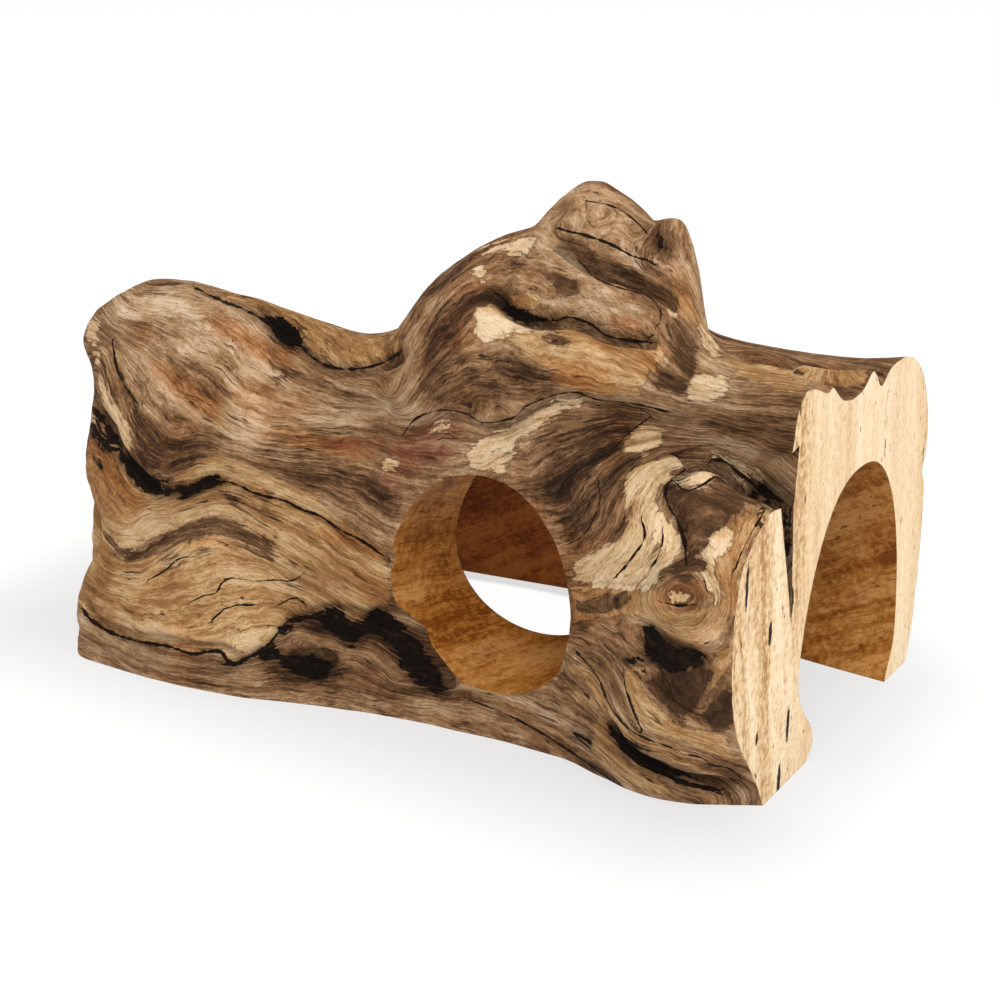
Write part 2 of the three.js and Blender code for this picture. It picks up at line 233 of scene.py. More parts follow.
MARKS = (
    Mark("left swelling", 4, 36, ((210, 370),)),
    Mark("knob", 11, 13, ((-128, -45, 117),), View.SPACE),
    Mark("knob rib", 3, 7, ((104, 340), (110, 372), (120, 402), (132, 436))),
    Mark("hollow by the knob rib", -4, 15, ((168, 455),)),
    Mark("wavy crease, deep", -5, 4, (
        (97, 413), (112, 433), (124, 458), (138, 480), (155, 492), (175, 491), (197, 487), (217, 482))),
    Mark("wavy crease, shallow", -2.6, 2.6, (
        (232, 484), (255, 493), (285, 501), (305, 509), (325, 519), (345, 532), (366, 547), (388, 560))),
    Mark("wavy lip", 3, 6, ((165, 478), (190, 466), (215, 462), (243, 468), (270, 482))),
    Mark("top crease", -4, 4, (
        (205, 291), (235, 304), (262, 319), (285, 337), (302, 348), (315, 360), (332, 367), (357, 369),
        (382, 364), (398, 356))),
    Mark("top hollow", -4, 6, ((268, 323), (285, 334))),
    Mark("pale crest", 3, 9, ((104, 500), (135, 525), (170, 512), (220, 503), (262, 517), (320, 548))),
    Mark("grey band", -2, 4, (
        (104, 535), (120, 556), (136, 556), (152, 544), (174, 531), (200, 524), (223, 521), (247, 527),
        (270, 542))),
    Mark("ledge crease", -4, 3.6, (
        (82, 609), (95, 624), (118, 636), (143, 642), (168, 646), (196, 653), (222, 654), (236, 662),
        (254, 655), (274, 641), (284, 627), (300, 618), (328, 612), (345, 614), (368, 620), (384, 614),
        (400, 622), (418, 640))),
    Mark("low hollow", -7, 6, ((296, 667), (320, 668))),
    Mark("hollow under the doorway", -7, 6, ((410, 650), (425, 668), (440, 688))),
    Mark("dark hollow", -3, 5, ((338, 628), (352, 638), (372, 626), (392, 634))),
    Mark("waist of the left foot", -11, 14, ((-133, -68, 42), (-136, -67, 26)), View.SPACE),
    Mark("left foot, tucked in", -4.5, 11, ((-129, -73, 47), (-133, -73, 24), (-129, -80, 3)), View.SPACE),
    Mark("left base corner", -4.5, 8, ((-130, -79, -2),), View.SPACE),
    Mark("hump fold, upper", -3.5, 2.6, ((560, 229), (587, 236), (610, 245), (632, 256), (654, 263))),
    Mark("hump fold, middle", -7, 5, (
        (562, 243), (577, 256), (593, 267), (614, 273), (636, 279), (656, 286), (670, 296))),
    Mark("hump fold, lower", -6, 4, (
        (500, 294), (510, 308), (528, 319), (555, 321), (572, 318), (593, 326), (608, 336), (627, 341),
        (650, 343))),
    Mark("hump rib, upper", 5, 6, ((555, 262), (577, 276), (600, 290), (630, 300), (655, 312))),
    Mark("hump rib, lower", 4, 7, ((482, 322), (512, 334), (550, 345), (590, 356), (635, 364))),
    Mark("crown rib", 2.5, 6, ((570, 236), (600, 256), (630, 268))),
    Mark("brow crease", -4, 4, (
        (412, 424), (428, 414), (448, 411), (468, 415), (484, 423), (502, 421), (518, 414), (532, 403),
        (556, 395), (578, 393), (600, 401), (630, 404), (655, 409), (680, 411))),
    Mark("brow", 3, 9, ((480, 398), (530, 378), (580, 372), (640, 382))),
    Mark("crown knob", 4, 7, ((681, 236),)),
    Mark("crown pit", -4, 5, ((664, 250),)),
    Mark("nose", 3, 7, ((668, 345), (690, 365))),
    Mark("burl", 2.5, 24, ((705, 530),)),
    Mark("burl crease", -4.5, 3.4, (
        (686, 556), (684, 538), (676, 518), (667, 500), (668, 487), (678, 475), (692, 466), (710, 460),
        (726, 463), (742, 475), (762, 489), (780, 499), (800, 500))),
    Mark("burl gap", -6, 5, ((752, 484), (772, 493), (795, 500))),
    Mark("burl pits", -5, 6, ((650, 640), (668, 652), (690, 663))),
    Mark("burl knot", -2.5, 5, ((681, 597),)),
    Mark("burl ring", 1.6, 4, ((655, 596), (665, 612), (684, 618), (704, 610), (709, 594), (700, 580))),
    Mark("oval", -2.5, 9, ((684, 695),)),
    Mark("foot crease", -6, 5, ((612, 732), (626, 751), (645, 765), (668, 776), (692, 784), (722, 790))),
    Mark("foot rib", 3, 6, ((572, 660), (598, 690), (612, 718), (640, 742), (690, 760))),
    Mark("hump rib, back", 4, 9, ((20, 12), (50, 16), (80, 10)), View.TOP),
    Mark("hump fold, back", -5, 7, ((5, 30), (35, 32), (70, 30), (95, 20)), View.TOP),
    Mark("shelf rib, front", 5, 5, ((118, -13), (152, -14)), View.TOP),
    Mark("shelf rib, middle", 5, 5, ((128, 19), (152, 19)), View.TOP),
    Mark("shelf crease", -4, 5, ((70, 36), (115, 34), (152, 29)), View.TOP),
    Mark("back crease, upper", -5, 5, (
        (-125, 70), (-80, 76), (-30, 68), (30, 78), (90, 70), (150, 78)), View.BACK),
    Mark("back crease, lower", -4, 4, ((-100, 26), (-50, 34), (10, 22), (70, 30), (120, 18)), View.BACK),
    Mark("back hollow", -6, 8, ((-20, 50), (-4, 46)), View.BACK),
    Mark("back swelling", 2.5, 26, ((48, 54),), View.BACK),
    Mark("left end crease", -5, 5, ((-40, 66), (-5, 74), (30, 62), (55, 66)), View.LEFT),
    Mark("left end hollow", -5, 9, ((10, 104),), View.LEFT),
)

CRACKS = (
    Crack("wavy crack", 2.6, (
        (94, 410), (110, 430), (120, 450), (135, 477), (152, 491), (172, 491), (195, 487), (215, 482),
        (232, 483))),
    Crack("wavy crack, thin", 0.9, (
        (226, 481), (240, 486), (257, 494), (285, 501), (300, 509), (322, 517), (340, 530), (360, 540),
        (387, 558))),
    Crack("left crack", 1.8, ((91, 424), (102, 440), (111, 452))),
    Crack("top crack", 1.0, (
        (196, 288), (220, 300), (250, 312), (277, 330), (300, 345), (312, 357), (330, 367), (355, 369),
        (380, 364), (400, 353))),
    Crack("thin wave", 0.5, (
        (189, 603), (203, 596), (216, 593), (221, 584), (230, 578), (239, 579), (257, 581), (275, 580),
        (291, 581), (302, 575))),
    Crack("thin wave, upper", 0.5, ((149, 580), (167, 569), (175, 561), (185, 557), (196, 557))),
    Crack("short slit", 0.9, ((228, 608), (239, 605), (253, 605))),
    Crack("short slit, right", 0.7, ((275, 607), (293, 598), (303, 602))),
    Crack("short slit, left", 0.5, ((212, 620), (221, 612), (226, 607))),
    Crack("line by the knob rib", 0.8, ((112, 342), (118, 372), (128, 390), (136, 402))),
    Crack("ledge crack", 1.4, (
        (82, 608), (92, 621), (117, 635), (142, 642), (167, 646), (195, 654), (218, 651), (232, 664),
        (250, 657), (272, 642))),
    Crack("ledge crack, right", 0.8, ((272, 642), (280, 630), (290, 620), (310, 616), (327, 610))),
    Crack("hump crack", 0.8, ((560, 229), (587, 236), (610, 244), (630, 255), (652, 262))),
    Crack("eye line", 0.45, (
        (580, 262), (595, 277), (617, 287), (645, 295), (658, 305), (662, 318), (658, 326))),
    Crack("fold crack", 0.8, (
        (502, 297), (512, 310), (530, 320), (555, 321), (570, 317), (592, 325), (605, 335), (625, 340),
        (647, 342))),
    Crack("brow crack", 0.55, (
        (405, 432), (412, 422), (425, 414), (445, 410), (467, 414), (480, 422), (495, 422), (515, 417),
        (525, 407), (540, 400), (555, 395), (575, 392), (595, 399), (620, 402), (645, 406), (667, 412))),
    Crack("crown line", 0.5, ((588, 201), (612, 206), (632, 218), (646, 232))),
    Crack("swirl streak, long", 0.8, (
        (642, 522), (645, 533), (642, 544), (634, 555), (625, 567), (617, 575))),
    Crack("swirl streak, right", 0.6, ((663, 533), (662, 544), (658, 556), (654, 564))),
    Crack("knot line", 0.8, ((664, 602), (673, 605), (681, 606), (690, 605))),
    Crack("door crack, upper", 0.45, (
        (556, 500), (560, 490), (572, 475), (592, 462), (612, 450), (630, 432), (650, 417))),
    Crack("door crack, lower", 0.4, ((566, 545), (582, 537), (592, 522), (600, 500), (598, 484))),
    Crack("burl crack", 0.9, (
        (686, 562), (684, 540), (677, 520), (667, 502), (666, 488), (675, 477), (690, 467), (710, 460),
        (725, 462), (740, 474), (760, 489), (778, 499))),
    Crack("island edge", 0.6, ((675, 482), (686, 491), (702, 485), (716, 477), (733, 479))),
    Crack("strip crack", 0.6, ((735, 570), (742, 552), (752, 532), (764, 512))),
    Crack("band crack, inner", 0.6, ((623, 670), (626, 690), (634, 712), (642, 731))),
    Crack("band crack, outer", 0.6, (
        (577, 652), (597, 676), (607, 700), (622, 722), (640, 736), (672, 748))),
    Crack("foot crack", 1.6, ((611, 728), (622, 746), (640, 762), (662, 773), (684, 783), (720, 790))),
    Crack("foot fine crack", 0.6, ((690, 755), (702, 758), (712, 765), (728, 768), (740, 776))),
    Crack("sole line", 0.7, ((470, 700), (510, 716), (550, 738), (590, 765), (620, 786))),
    Crack("shelf crack", 0.9, ((60, 36), (90, 33), (120, 34), (150, 29)), View.TOP),
    Crack("left top crack", 0.7, ((-120, 20), (-90, 26), (-50, 18), (-20, 24)), View.TOP),
    Crack("back crack, upper", 1.4, (
        (-125, 70), (-80, 76), (-30, 68), (30, 78), (90, 70), (150, 78)), View.BACK),
    Crack("back crack, lower", 0.8, ((-100, 26), (-50, 34), (10, 22), (70, 30), (120, 18)), View.BACK),
    Crack("left end crack", 1.2, ((-40, 66), (-5, 74), (30, 62), (55, 66)), View.LEFT),
)

PATCHES = (
    Patch("lower left", Look.HONEY, (
        (84, 428), (100, 445), (118, 467), (135, 486), (152, 494), (165, 487), (180, 474), (200, 460),
        (222, 456), (245, 462), (272, 476), (290, 487), (310, 492), (328, 507), (360, 535), (386, 556),
        (390, 590), (396, 612), (380, 606), (367, 615), (352, 617), (342, 607), (327, 604), (310, 611),
        (290, 617), (280, 630), (272, 642), (250, 657), (232, 664), (222, 652), (200, 655), (167, 647),
        (142, 642), (117, 636), (95, 624), (78, 606), (70, 570), (70, 450))),
    Patch("top crest", Look.HONEY, (
        (215, 282), (250, 292), (285, 305), (322, 322), (360, 333), (395, 336), (399, 350), (372, 363),
        (335, 364), (315, 353), (302, 341), (285, 322), (262, 309), (230, 297))),
    Patch("crest by the end", Look.HONEY, (
        (722, 352), (770, 366), (806, 376), (806, 398), (770, 388), (735, 376))),
    Patch("red knots", Look.RED, (
        (385, 452), (408, 436), (425, 421), (446, 415), (460, 422), (463, 440), (450, 457), (425, 466),
        (405, 480), (385, 486), (375, 470))),
    Patch("red streak", Look.RED, ((330, 440), (365, 442), (385, 440), (380, 452), (350, 456), (325, 450))),
    Patch("knot bead", Look.PALE, ((380, 462), (390, 458), (398, 463), (396, 471), (386, 473), (380, 469))),
    Patch("knot star", Look.PALE, ((430, 431), (438, 423), (452, 420), (446, 427), (436, 433))),
    Patch("knot star, left", Look.PALE, ((435, 428), (438, 417), (441, 415), (441, 427))),
    Patch("knob top", Look.LIGHT, (
        (87, 324), (96, 311), (122, 300), (146, 293), (185, 297), (160, 311), (131, 316), (119, 329),
        (106, 324))),
    Patch("upper fan", Look.LIGHT, (
        (137, 345), (171, 338), (199, 338), (221, 347), (226, 370), (212, 377), (185, 363), (149, 354))),
    Patch("fan streak", Look.LIGHT, (
        (206, 329), (231, 341), (256, 363), (274, 377), (256, 384), (239, 363), (221, 347))),
    Patch("middle of the swelling", Look.LIGHT, (
        (217, 406), (248, 384), (274, 395), (306, 402), (355, 409), (390, 395), (389, 413), (346, 436),
        (301, 431), (274, 425), (265, 449), (246, 452), (231, 445), (217, 424))),
    Patch("hump shade", Look.SHADE, (
        (425, 328), (447, 312), (463, 345), (500, 376), (524, 396), (503, 409), (470, 418), (434, 410),
        (416, 385))),
    Patch("burl right, cream", Look.PALE, (
        (704, 536), (723, 528), (743, 526), (735, 542), (719, 555), (715, 571), (725, 591), (719, 607),
        (709, 591), (702, 571), (700, 551))),
    Patch("under the knot, cream", Look.LIGHT, (
        (633, 607), (662, 620), (674, 632), (662, 640), (646, 632), (627, 620))),
    Patch("beside the oval", Look.HONEY, ((715, 660), (731, 640), (730, 664), (711, 694), (704, 689))),
    Patch("hump, middle", Look.LIGHT, (
        (566, 262), (590, 275), (625, 296), (640, 320), (612, 326), (585, 315), (560, 300))),
    Patch("lower middle", Look.DARK, (
        (262, 655), (300, 620), (340, 614), (395, 622), (430, 655), (450, 695), (400, 700), (330, 692),
        (270, 682))),
    Patch("lower middle, heart", Look.DARK, (
        (285, 640), (330, 625), (380, 630), (410, 660), (420, 690), (350, 682), (300, 672))),
    Patch("below the swirl", Look.DARK, (
        (640, 632), (672, 640), (700, 655), (722, 640), (735, 668), (730, 705), (700, 722), (672, 700),
        (650, 672))),
    Patch("crest, light", Look.LIGHT, (
        (205, 292), (250, 305), (282, 325), (262, 336), (232, 328), (205, 312))),
    Patch("swelling, upper light", Look.LIGHT, (
        (120, 300), (165, 292), (225, 330), (215, 360), (170, 345), (125, 330))),
    Patch("light spot by the lip", Look.LIGHT, ((280, 449), (292, 450), (290, 463), (278, 466))),
    Patch("fan by the knob", Look.LIGHT, (
        (121, 341), (149, 359), (174, 384), (214, 424), (203, 431), (160, 406), (131, 381), (117, 356))),
    Patch("fan, orange streak", Look.RUST, (
        (146, 354), (171, 366), (203, 388), (221, 399), (221, 425), (194, 413), (167, 395), (153, 377))),
    Patch("top, orange streak", Look.RUST, (
        (203, 313), (239, 324), (265, 341), (278, 363), (262, 366), (239, 345), (212, 329))),
    Patch("right, orange streak", Look.RUST, (
        (271, 424), (310, 431), (355, 441), (372, 452), (364, 463), (319, 452), (283, 441))),
    Patch("left foot, orange streak", Look.RUST, (
        (96, 441), (119, 475), (140, 502), (131, 508), (105, 475), (90, 449))),
    Patch("under the top hollow", Look.RUST, ((271, 347), (298, 349), (290, 372), (281, 366))),
    Patch("under the swelling", Look.DARK, (
        (128, 395), (149, 418), (176, 440), (212, 441), (217, 456), (203, 458), (174, 472), (160, 484),
        (140, 475), (128, 463), (137, 449), (131, 422))),
    Patch("left grey strip", Look.DARK, ((88, 347), (96, 356), (101, 381), (96, 402), (92, 377))),
    Patch("upper grey streak", Look.DARK, (
        (128, 320), (160, 315), (196, 329), (203, 340), (174, 338), (149, 338), (131, 331))),
    Patch("above the lip, right", Look.DARK, (
        (248, 463), (283, 466), (328, 470), (372, 475), (399, 502), (399, 524), (328, 497), (274, 475))),
    Patch("knob rib", Look.PALE, (
        (87, 324), (96, 316), (103, 322), (96, 334), (99, 354), (105, 377), (114, 400), (128, 424),
        (137, 449), (134, 456), (126, 445), (114, 422), (103, 406), (98, 370), (92, 347), (86, 338))),
    Patch("wavy crease, left", Look.CHAR_AND_SHADE, (
        (114, 436), (122, 456), (137, 465), (160, 481), (171, 477), (164, 488), (149, 490), (135, 479),
        (121, 458))),
    Patch("wavy crease, right", Look.CHAR_AND_SHADE, (
        (176, 491), (196, 482), (215, 474), (226, 477), (212, 484), (196, 493), (185, 500), (178, 497))),
    Patch("left slit", Look.CHAR_AND_SHADE, ((91, 427), (96, 428), (110, 450), (106, 449))),
    Patch("left spot", Look.CHAR_AND_SHADE, ((96, 454), (102, 459), (105, 470), (100, 466))),
    Patch("top hollow", Look.CHAR_AND_SHADE, (
        (258, 313), (283, 318), (299, 332), (305, 343), (296, 349), (280, 340), (271, 329))),
    Patch("lens", Look.BARK, ((222, 493), (231, 494), (243, 502), (236, 504), (226, 500))),
    Patch("knot by the crease", Look.BARK, (
        (258, 493), (265, 490), (271, 493), (265, 502), (269, 513), (276, 518), (271, 520), (264, 511),
        (264, 499))),
    Patch("grey band", Look.BARK, (
        (104, 534), (112, 541), (119, 552), (126, 555), (135, 552), (142, 543), (151, 537), (167, 535),
        (185, 527), (201, 521), (219, 518), (239, 525), (253, 532), (266, 537), (275, 544), (273, 552),
        (264, 552), (250, 547), (239, 539), (221, 535), (207, 534), (189, 539), (175, 543), (160, 552),
        (149, 557), (137, 562), (126, 562), (117, 557), (108, 544))),
    Patch("grey band, tail", Look.BARK, (
        (228, 539), (248, 546), (266, 550), (280, 555), (271, 560), (260, 559), (253, 553), (239, 546))),
    Patch("under the grey band", Look.RUST, (
        (178, 544), (212, 534), (235, 543), (250, 552), (239, 555), (214, 544), (196, 548))),
    Patch("left foot, cream", Look.LIGHT, (
        (128, 616), (160, 623), (185, 629), (221, 605), (239, 603), (271, 609), (284, 620), (275, 634),
        (257, 646), (230, 659), (221, 650), (185, 643), (149, 637), (117, 623), (103, 611))),
    Patch("above the grey band", Look.LIGHT, (
        (160, 496), (196, 500), (221, 507), (250, 516), (239, 521), (217, 514), (185, 521), (160, 532),
        (139, 539), (132, 550), (119, 539), (128, 516), (142, 503))),
    Patch("left foot, waist", Look.DARK, (
        (103, 552), (114, 559), (114, 580), (103, 591), (92, 587), (101, 566))),
    Patch("grey streaks by the doorway", Look.DARK, (
        (280, 555), (311, 557), (346, 569), (373, 584), (398, 596), (398, 612), (364, 595), (328, 580),
        (302, 566))),
    Patch("rim by the doorway", Look.RUST, (
        (314, 532), (346, 530), (373, 546), (389, 555), (375, 555), (346, 543))),
    Patch("ledge shadow", Look.CHAR_AND_SHADE, (
        (217, 659), (230, 663), (250, 654), (266, 646), (277, 643), (278, 659), (266, 661), (253, 659),
        (230, 668), (219, 666))),
    Patch("low pit", Look.CHAR_AND_SHADE, (
        (278, 659), (293, 656), (314, 656), (328, 661), (336, 670), (328, 677), (311, 680), (296, 677),
        (282, 668))),
    Patch("charred rim", Look.CHAR_AND_SHADE, (
        (280, 632), (291, 618), (307, 615), (318, 616), (328, 607), (339, 608), (348, 620), (361, 620),
        (373, 609), (387, 610), (398, 621), (411, 634), (418, 641), (429, 657), (448, 689), (443, 700),
        (427, 691), (411, 679), (400, 663), (391, 645), (379, 636), (364, 634), (357, 641), (353, 648),
        (345, 645), (339, 636), (328, 634), (316, 623), (298, 620), (284, 632))),
    # painted shade on the left side of the hump, together with the hump shade patch
    Patch("hump left", Look.DARK, (
        (427, 318), (471, 291), (497, 286), (513, 314), (551, 322), (547, 327), (513, 320), (494, 306),
        (473, 306), (471, 322), (477, 344), (486, 348), (513, 352), (541, 369), (560, 382), (551, 394),
        (513, 405), (475, 411), (427, 411), (412, 401), (418, 359))),
    Patch("hump left, upper", Look.DARK, (
        (460, 261), (486, 253), (513, 253), (524, 263), (520, 276), (497, 269), (479, 265), (467, 284),
        (437, 293), (418, 314), (425, 293))),
    Patch("crown patch", Look.PALE, (
        (471, 251), (494, 246), (513, 240), (541, 236), (537, 244), (530, 253), (526, 257), (511, 257),
        (505, 250), (486, 253))),
    Patch("loop", Look.PALE, (
        (473, 272), (484, 267), (488, 274), (486, 280), (490, 284), (480, 282), (475, 278))),
    Patch("loop, long", Look.HONEY, (
        (492, 276), (505, 282), (516, 291), (530, 293), (537, 305), (533, 310), (524, 301), (513, 293),
        (501, 284))),
    Patch("loop, low", Look.HONEY, ((501, 291), (513, 297), (524, 306), (516, 305), (503, 299))),
    Patch("tongue tip", Look.PALE, (
        (472, 310), (477, 305), (494, 305), (509, 314), (524, 322), (543, 327), (562, 323), (551, 331),
        (532, 333), (513, 335), (501, 341), (494, 342), (486, 346), (482, 341), (475, 333), (477, 325),
        (472, 320))),
    Patch("tongue", Look.HONEY, (
        (501, 333), (543, 327), (569, 322), (579, 325), (607, 339), (645, 342), (660, 342), (664, 359),
        (645, 378), (638, 395), (607, 395), (581, 392), (560, 384), (547, 371), (532, 361), (513, 346))),
    Patch("tongue, orange", Look.RUST, (
        (541, 359), (569, 363), (607, 375), (613, 388), (581, 390), (562, 380), (547, 369))),
    Patch("oval on the tongue", Look.BARK, (
        (543, 338), (554, 335), (566, 339), (569, 343), (560, 345), (549, 345))),
    Patch("fold", Look.CHAR_AND_SHADE, (
        (505, 307), (520, 313), (541, 316), (562, 320), (551, 324), (532, 324), (513, 317))),
    Patch("hump folds", Look.DARK, (
        (569, 242), (588, 255), (607, 265), (645, 276), (664, 287), (670, 303), (655, 306), (641, 293),
        (617, 284), (594, 276), (581, 259))),
    Patch("round hollow", Look.BARK, (
        (551, 287), (558, 276), (569, 276), (579, 286), (577, 295), (562, 299))),
    Patch("middle ridge", Look.LIGHT, (
        (558, 246), (569, 253), (585, 269), (594, 280), (626, 291), (617, 301), (588, 291), (577, 276),
        (560, 257))),
    Patch("eye ridge", Look.LIGHT, (
        (551, 299), (579, 293), (617, 295), (641, 303), (660, 329), (651, 337), (626, 318), (588, 306),
        (554, 310))),
    Patch("eye", Look.PALE, ((640, 305), (645, 303), (653, 310), (654, 318), (649, 321), (642, 316))),
    Patch("eye corner", Look.PALE, (
        (660, 308), (676, 312), (681, 318), (668, 320), (664, 327), (661, 320))),
    Patch("eye patch", Look.RUST, ((611, 318), (626, 314), (641, 322), (640, 331), (623, 329), (607, 322))),
    Patch("nose", Look.BARK, (
        (664, 322), (676, 320), (687, 331), (698, 352), (695, 369), (683, 392), (668, 394), (653, 386),
        (660, 375), (672, 359), (668, 341))),
    Patch("nose top", Look.LIGHT, (
        (657, 342), (672, 341), (683, 359), (676, 375), (660, 367), (645, 359), (641, 352))),
    Patch("hump right edge", Look.HONEY, (
        (668, 280), (683, 287), (693, 303), (702, 314), (712, 335), (721, 352), (729, 367), (717, 361),
        (698, 337), (683, 314), (672, 295))),
    Patch("hump right edge, streaks", Look.PALE, (
        (693, 325), (702, 323), (712, 341), (721, 356), (713, 356), (700, 341))),
    Patch("right patch", Look.PALE, (
        (687, 392), (691, 377), (702, 373), (713, 375), (727, 377), (727, 390), (717, 401), (702, 403),
        (691, 399))),
    Patch("right patch, upper", Look.LIGHT, (
        (698, 356), (713, 359), (729, 367), (740, 369), (738, 377), (713, 369), (702, 369))),
    Patch("crown knob", Look.DARK, (
        (640, 225), (653, 223), (683, 227), (691, 242), (691, 257), (679, 253), (660, 253), (653, 242))),
    Patch("crown pit", Look.CHAR_AND_SHADE, ((655, 236), (663, 236), (670, 246), (664, 252), (657, 248))),
    Patch("below the crown", Look.LIGHT, ((653, 259), (676, 259), (687, 276), (676, 280), (660, 269))),
    Patch("hump right", Look.RUST, (
        (670, 269), (683, 276), (691, 291), (695, 303), (683, 299), (674, 284))),
    Patch("above the doorway", Look.DARK, (
        (540, 422), (628, 407), (655, 421), (636, 427), (621, 443), (623, 452), (640, 459), (628, 469),
        (625, 491), (624, 511), (625, 527), (614, 541), (599, 543), (584, 556), (571, 564), (572, 577),
        (567, 580), (562, 540), (555, 515), (540, 496))),
    Patch("streak over the doorway", Look.PALE, (
        (466, 462), (471, 446), (491, 435), (511, 425), (531, 413), (555, 403), (578, 399), (581, 403),
        (561, 410), (540, 424), (519, 437), (515, 446), (521, 453), (506, 462), (505, 472), (475, 472))),
    Patch("wedge", Look.PALE, (
        (621, 443), (637, 427), (658, 424), (665, 427), (664, 435), (661, 444), (646, 459), (634, 455),
        (623, 455))),
    Patch("over the swirl", Look.LIGHT, (
        (665, 427), (687, 429), (702, 435), (732, 435), (754, 444), (776, 462), (804, 469), (802, 483),
        (776, 477), (746, 462), (717, 452), (702, 449), (687, 443), (665, 443))),
    Patch("swirl", Look.PALE, (
        (628, 474), (643, 463), (658, 460), (673, 456), (687, 453), (699, 450), (717, 453), (746, 465),
        (768, 480), (804, 485), (804, 497), (783, 490), (761, 485), (739, 471), (717, 457), (704, 459),
        (687, 465), (673, 471), (662, 481), (656, 493), (659, 512), (673, 528), (680, 537), (679, 553),
        (670, 565), (661, 571), (658, 583), (643, 590), (602, 586), (568, 584), (575, 577), (572, 563),
        (584, 556), (596, 549), (602, 544), (614, 541), (623, 533), (627, 522), (625, 506), (625, 488))),
    Patch("island top", Look.PALE, (
        (671, 484), (681, 477), (699, 471), (714, 469), (726, 472), (743, 481), (754, 491), (761, 502),
        (752, 494), (739, 483), (726, 478), (715, 478), (709, 484), (699, 488), (690, 490), (681, 487))),
    Patch("island", Look.BARK, (
        (665, 491), (671, 485), (681, 487), (690, 491), (701, 490), (712, 483), (717, 478), (732, 480),
        (746, 490), (758, 500), (760, 506), (743, 509), (730, 519), (717, 530), (707, 537), (707, 547),
        (696, 556), (690, 561), (686, 547), (684, 533), (676, 518), (668, 503))),
    Patch("island tail", Look.BARK, (
        (687, 553), (696, 558), (707, 558), (708, 565), (696, 571), (693, 578), (684, 581), (673, 577),
        (665, 571), (673, 564), (681, 559))),
    Patch("burl gap", Look.CHAR_AND_SHADE, (
        (749, 480), (761, 484), (779, 493), (804, 500), (804, 505), (791, 503), (779, 506), (765, 503),
        (758, 494))),
    Patch("burl right", Look.HONEY, (
        (707, 539), (730, 521), (746, 512), (758, 509), (767, 512), (754, 533), (743, 555), (737, 577),
        (736, 620), (717, 620), (714, 583), (708, 569), (705, 556))),
    Patch("knot heart", Look.PALE, (
        (668, 595), (676, 590), (687, 589), (696, 593), (693, 601), (680, 604), (670, 602))),
    Patch("knot ring", Look.RUST, (
        (656, 597), (665, 586), (673, 581), (695, 580), (714, 583), (715, 593), (705, 605), (692, 611),
        (673, 609), (661, 606))),
    Patch("right streaks", Look.DARK, (
        (699, 412), (732, 413), (761, 412), (804, 415), (798, 437), (801, 463), (770, 457), (761, 444),
        (737, 438), (714, 429))),
    Patch("streak right of the doorway", Look.BARK, (
        (569, 604), (583, 601), (608, 596), (624, 594), (631, 597), (624, 605), (608, 610), (589, 615),
        (572, 613))),
    Patch("under the knot", Look.HONEY, (
        (571, 583), (656, 589), (659, 608), (678, 616), (706, 605), (730, 604), (732, 631), (706, 646),
        (678, 643), (656, 627), (640, 615), (621, 613), (599, 618), (571, 621))),
    Patch("lower streak", Look.DARK, (
        (569, 643), (591, 643), (608, 648), (621, 662), (624, 681), (637, 714), (645, 732), (638, 733),
        (621, 714), (608, 694), (604, 678), (589, 668), (569, 649))),
    Patch("outer band", Look.HONEY, (
        (567, 662), (583, 665), (594, 676), (604, 694), (612, 714), (624, 721), (640, 735), (662, 741),
        (694, 754), (725, 766), (749, 777), (725, 776), (694, 769), (662, 755), (640, 747), (627, 738),
        (615, 722), (599, 703), (589, 683), (580, 675), (564, 670))),
    Patch("inner band", Look.HONEY, (
        (624, 670), (634, 665), (645, 666), (648, 672), (640, 678), (643, 691), (662, 711), (683, 727),
        (702, 732), (725, 733), (730, 746), (738, 758), (709, 751), (678, 739), (646, 732), (643, 722),
        (631, 700), (624, 683))),
    Patch("oval", Look.BARK, (
        (640, 678), (651, 676), (662, 675), (686, 672), (698, 667), (713, 673), (709, 683), (698, 700),
        (691, 714), (684, 725), (672, 716), (659, 703), (649, 692))),
    Patch("oval, right", Look.BARK, (
        (706, 717), (709, 706), (725, 689), (730, 684), (730, 732), (714, 733), (706, 727))),
    Patch("burl pits", Look.CHAR_AND_SHADE, (
        (643, 624), (654, 627), (662, 640), (672, 649), (687, 654), (702, 656), (703, 664), (687, 668),
        (670, 670), (659, 664), (649, 657), (648, 646), (646, 634))),
    Patch("spot by the inner band", Look.CHAR_AND_SHADE, (
        (624, 657), (634, 654), (643, 661), (642, 665), (627, 665))),
    Patch("burl, low", Look.LIGHT, (
        (703, 632), (730, 629), (732, 681), (713, 700), (702, 702), (709, 681), (709, 668), (703, 651))),
    Patch("foot gap", Look.CHAR_AND_SHADE, (
        (609, 725), (615, 728), (627, 741), (646, 754), (662, 762), (686, 774), (694, 779), (678, 781),
        (662, 774), (649, 771), (634, 758), (621, 749), (612, 735))),
    Patch("foot gap, tail", Look.CHAR_AND_SHADE, (
        (686, 776), (709, 785), (733, 795), (725, 796), (702, 790), (691, 782))),
    Patch("small pit", Look.CHAR_AND_SHADE, (
        (571, 730), (580, 735), (591, 736), (593, 743), (588, 747), (582, 743), (574, 738))),
    Patch("foot", Look.HONEY, (
        (596, 714), (608, 722), (608, 735), (621, 752), (637, 763), (659, 774), (668, 785), (672, 793),
        (640, 788), (618, 776), (602, 762), (589, 747), (593, 732))),
    Patch("small tongue", Look.HONEY, (
        (563, 691), (571, 689), (589, 700), (604, 714), (586, 709), (567, 697))),
    Patch("under the doorway", Look.DARK, (
        (548, 681), (564, 673), (586, 683), (589, 694), (572, 689), (552, 684))),
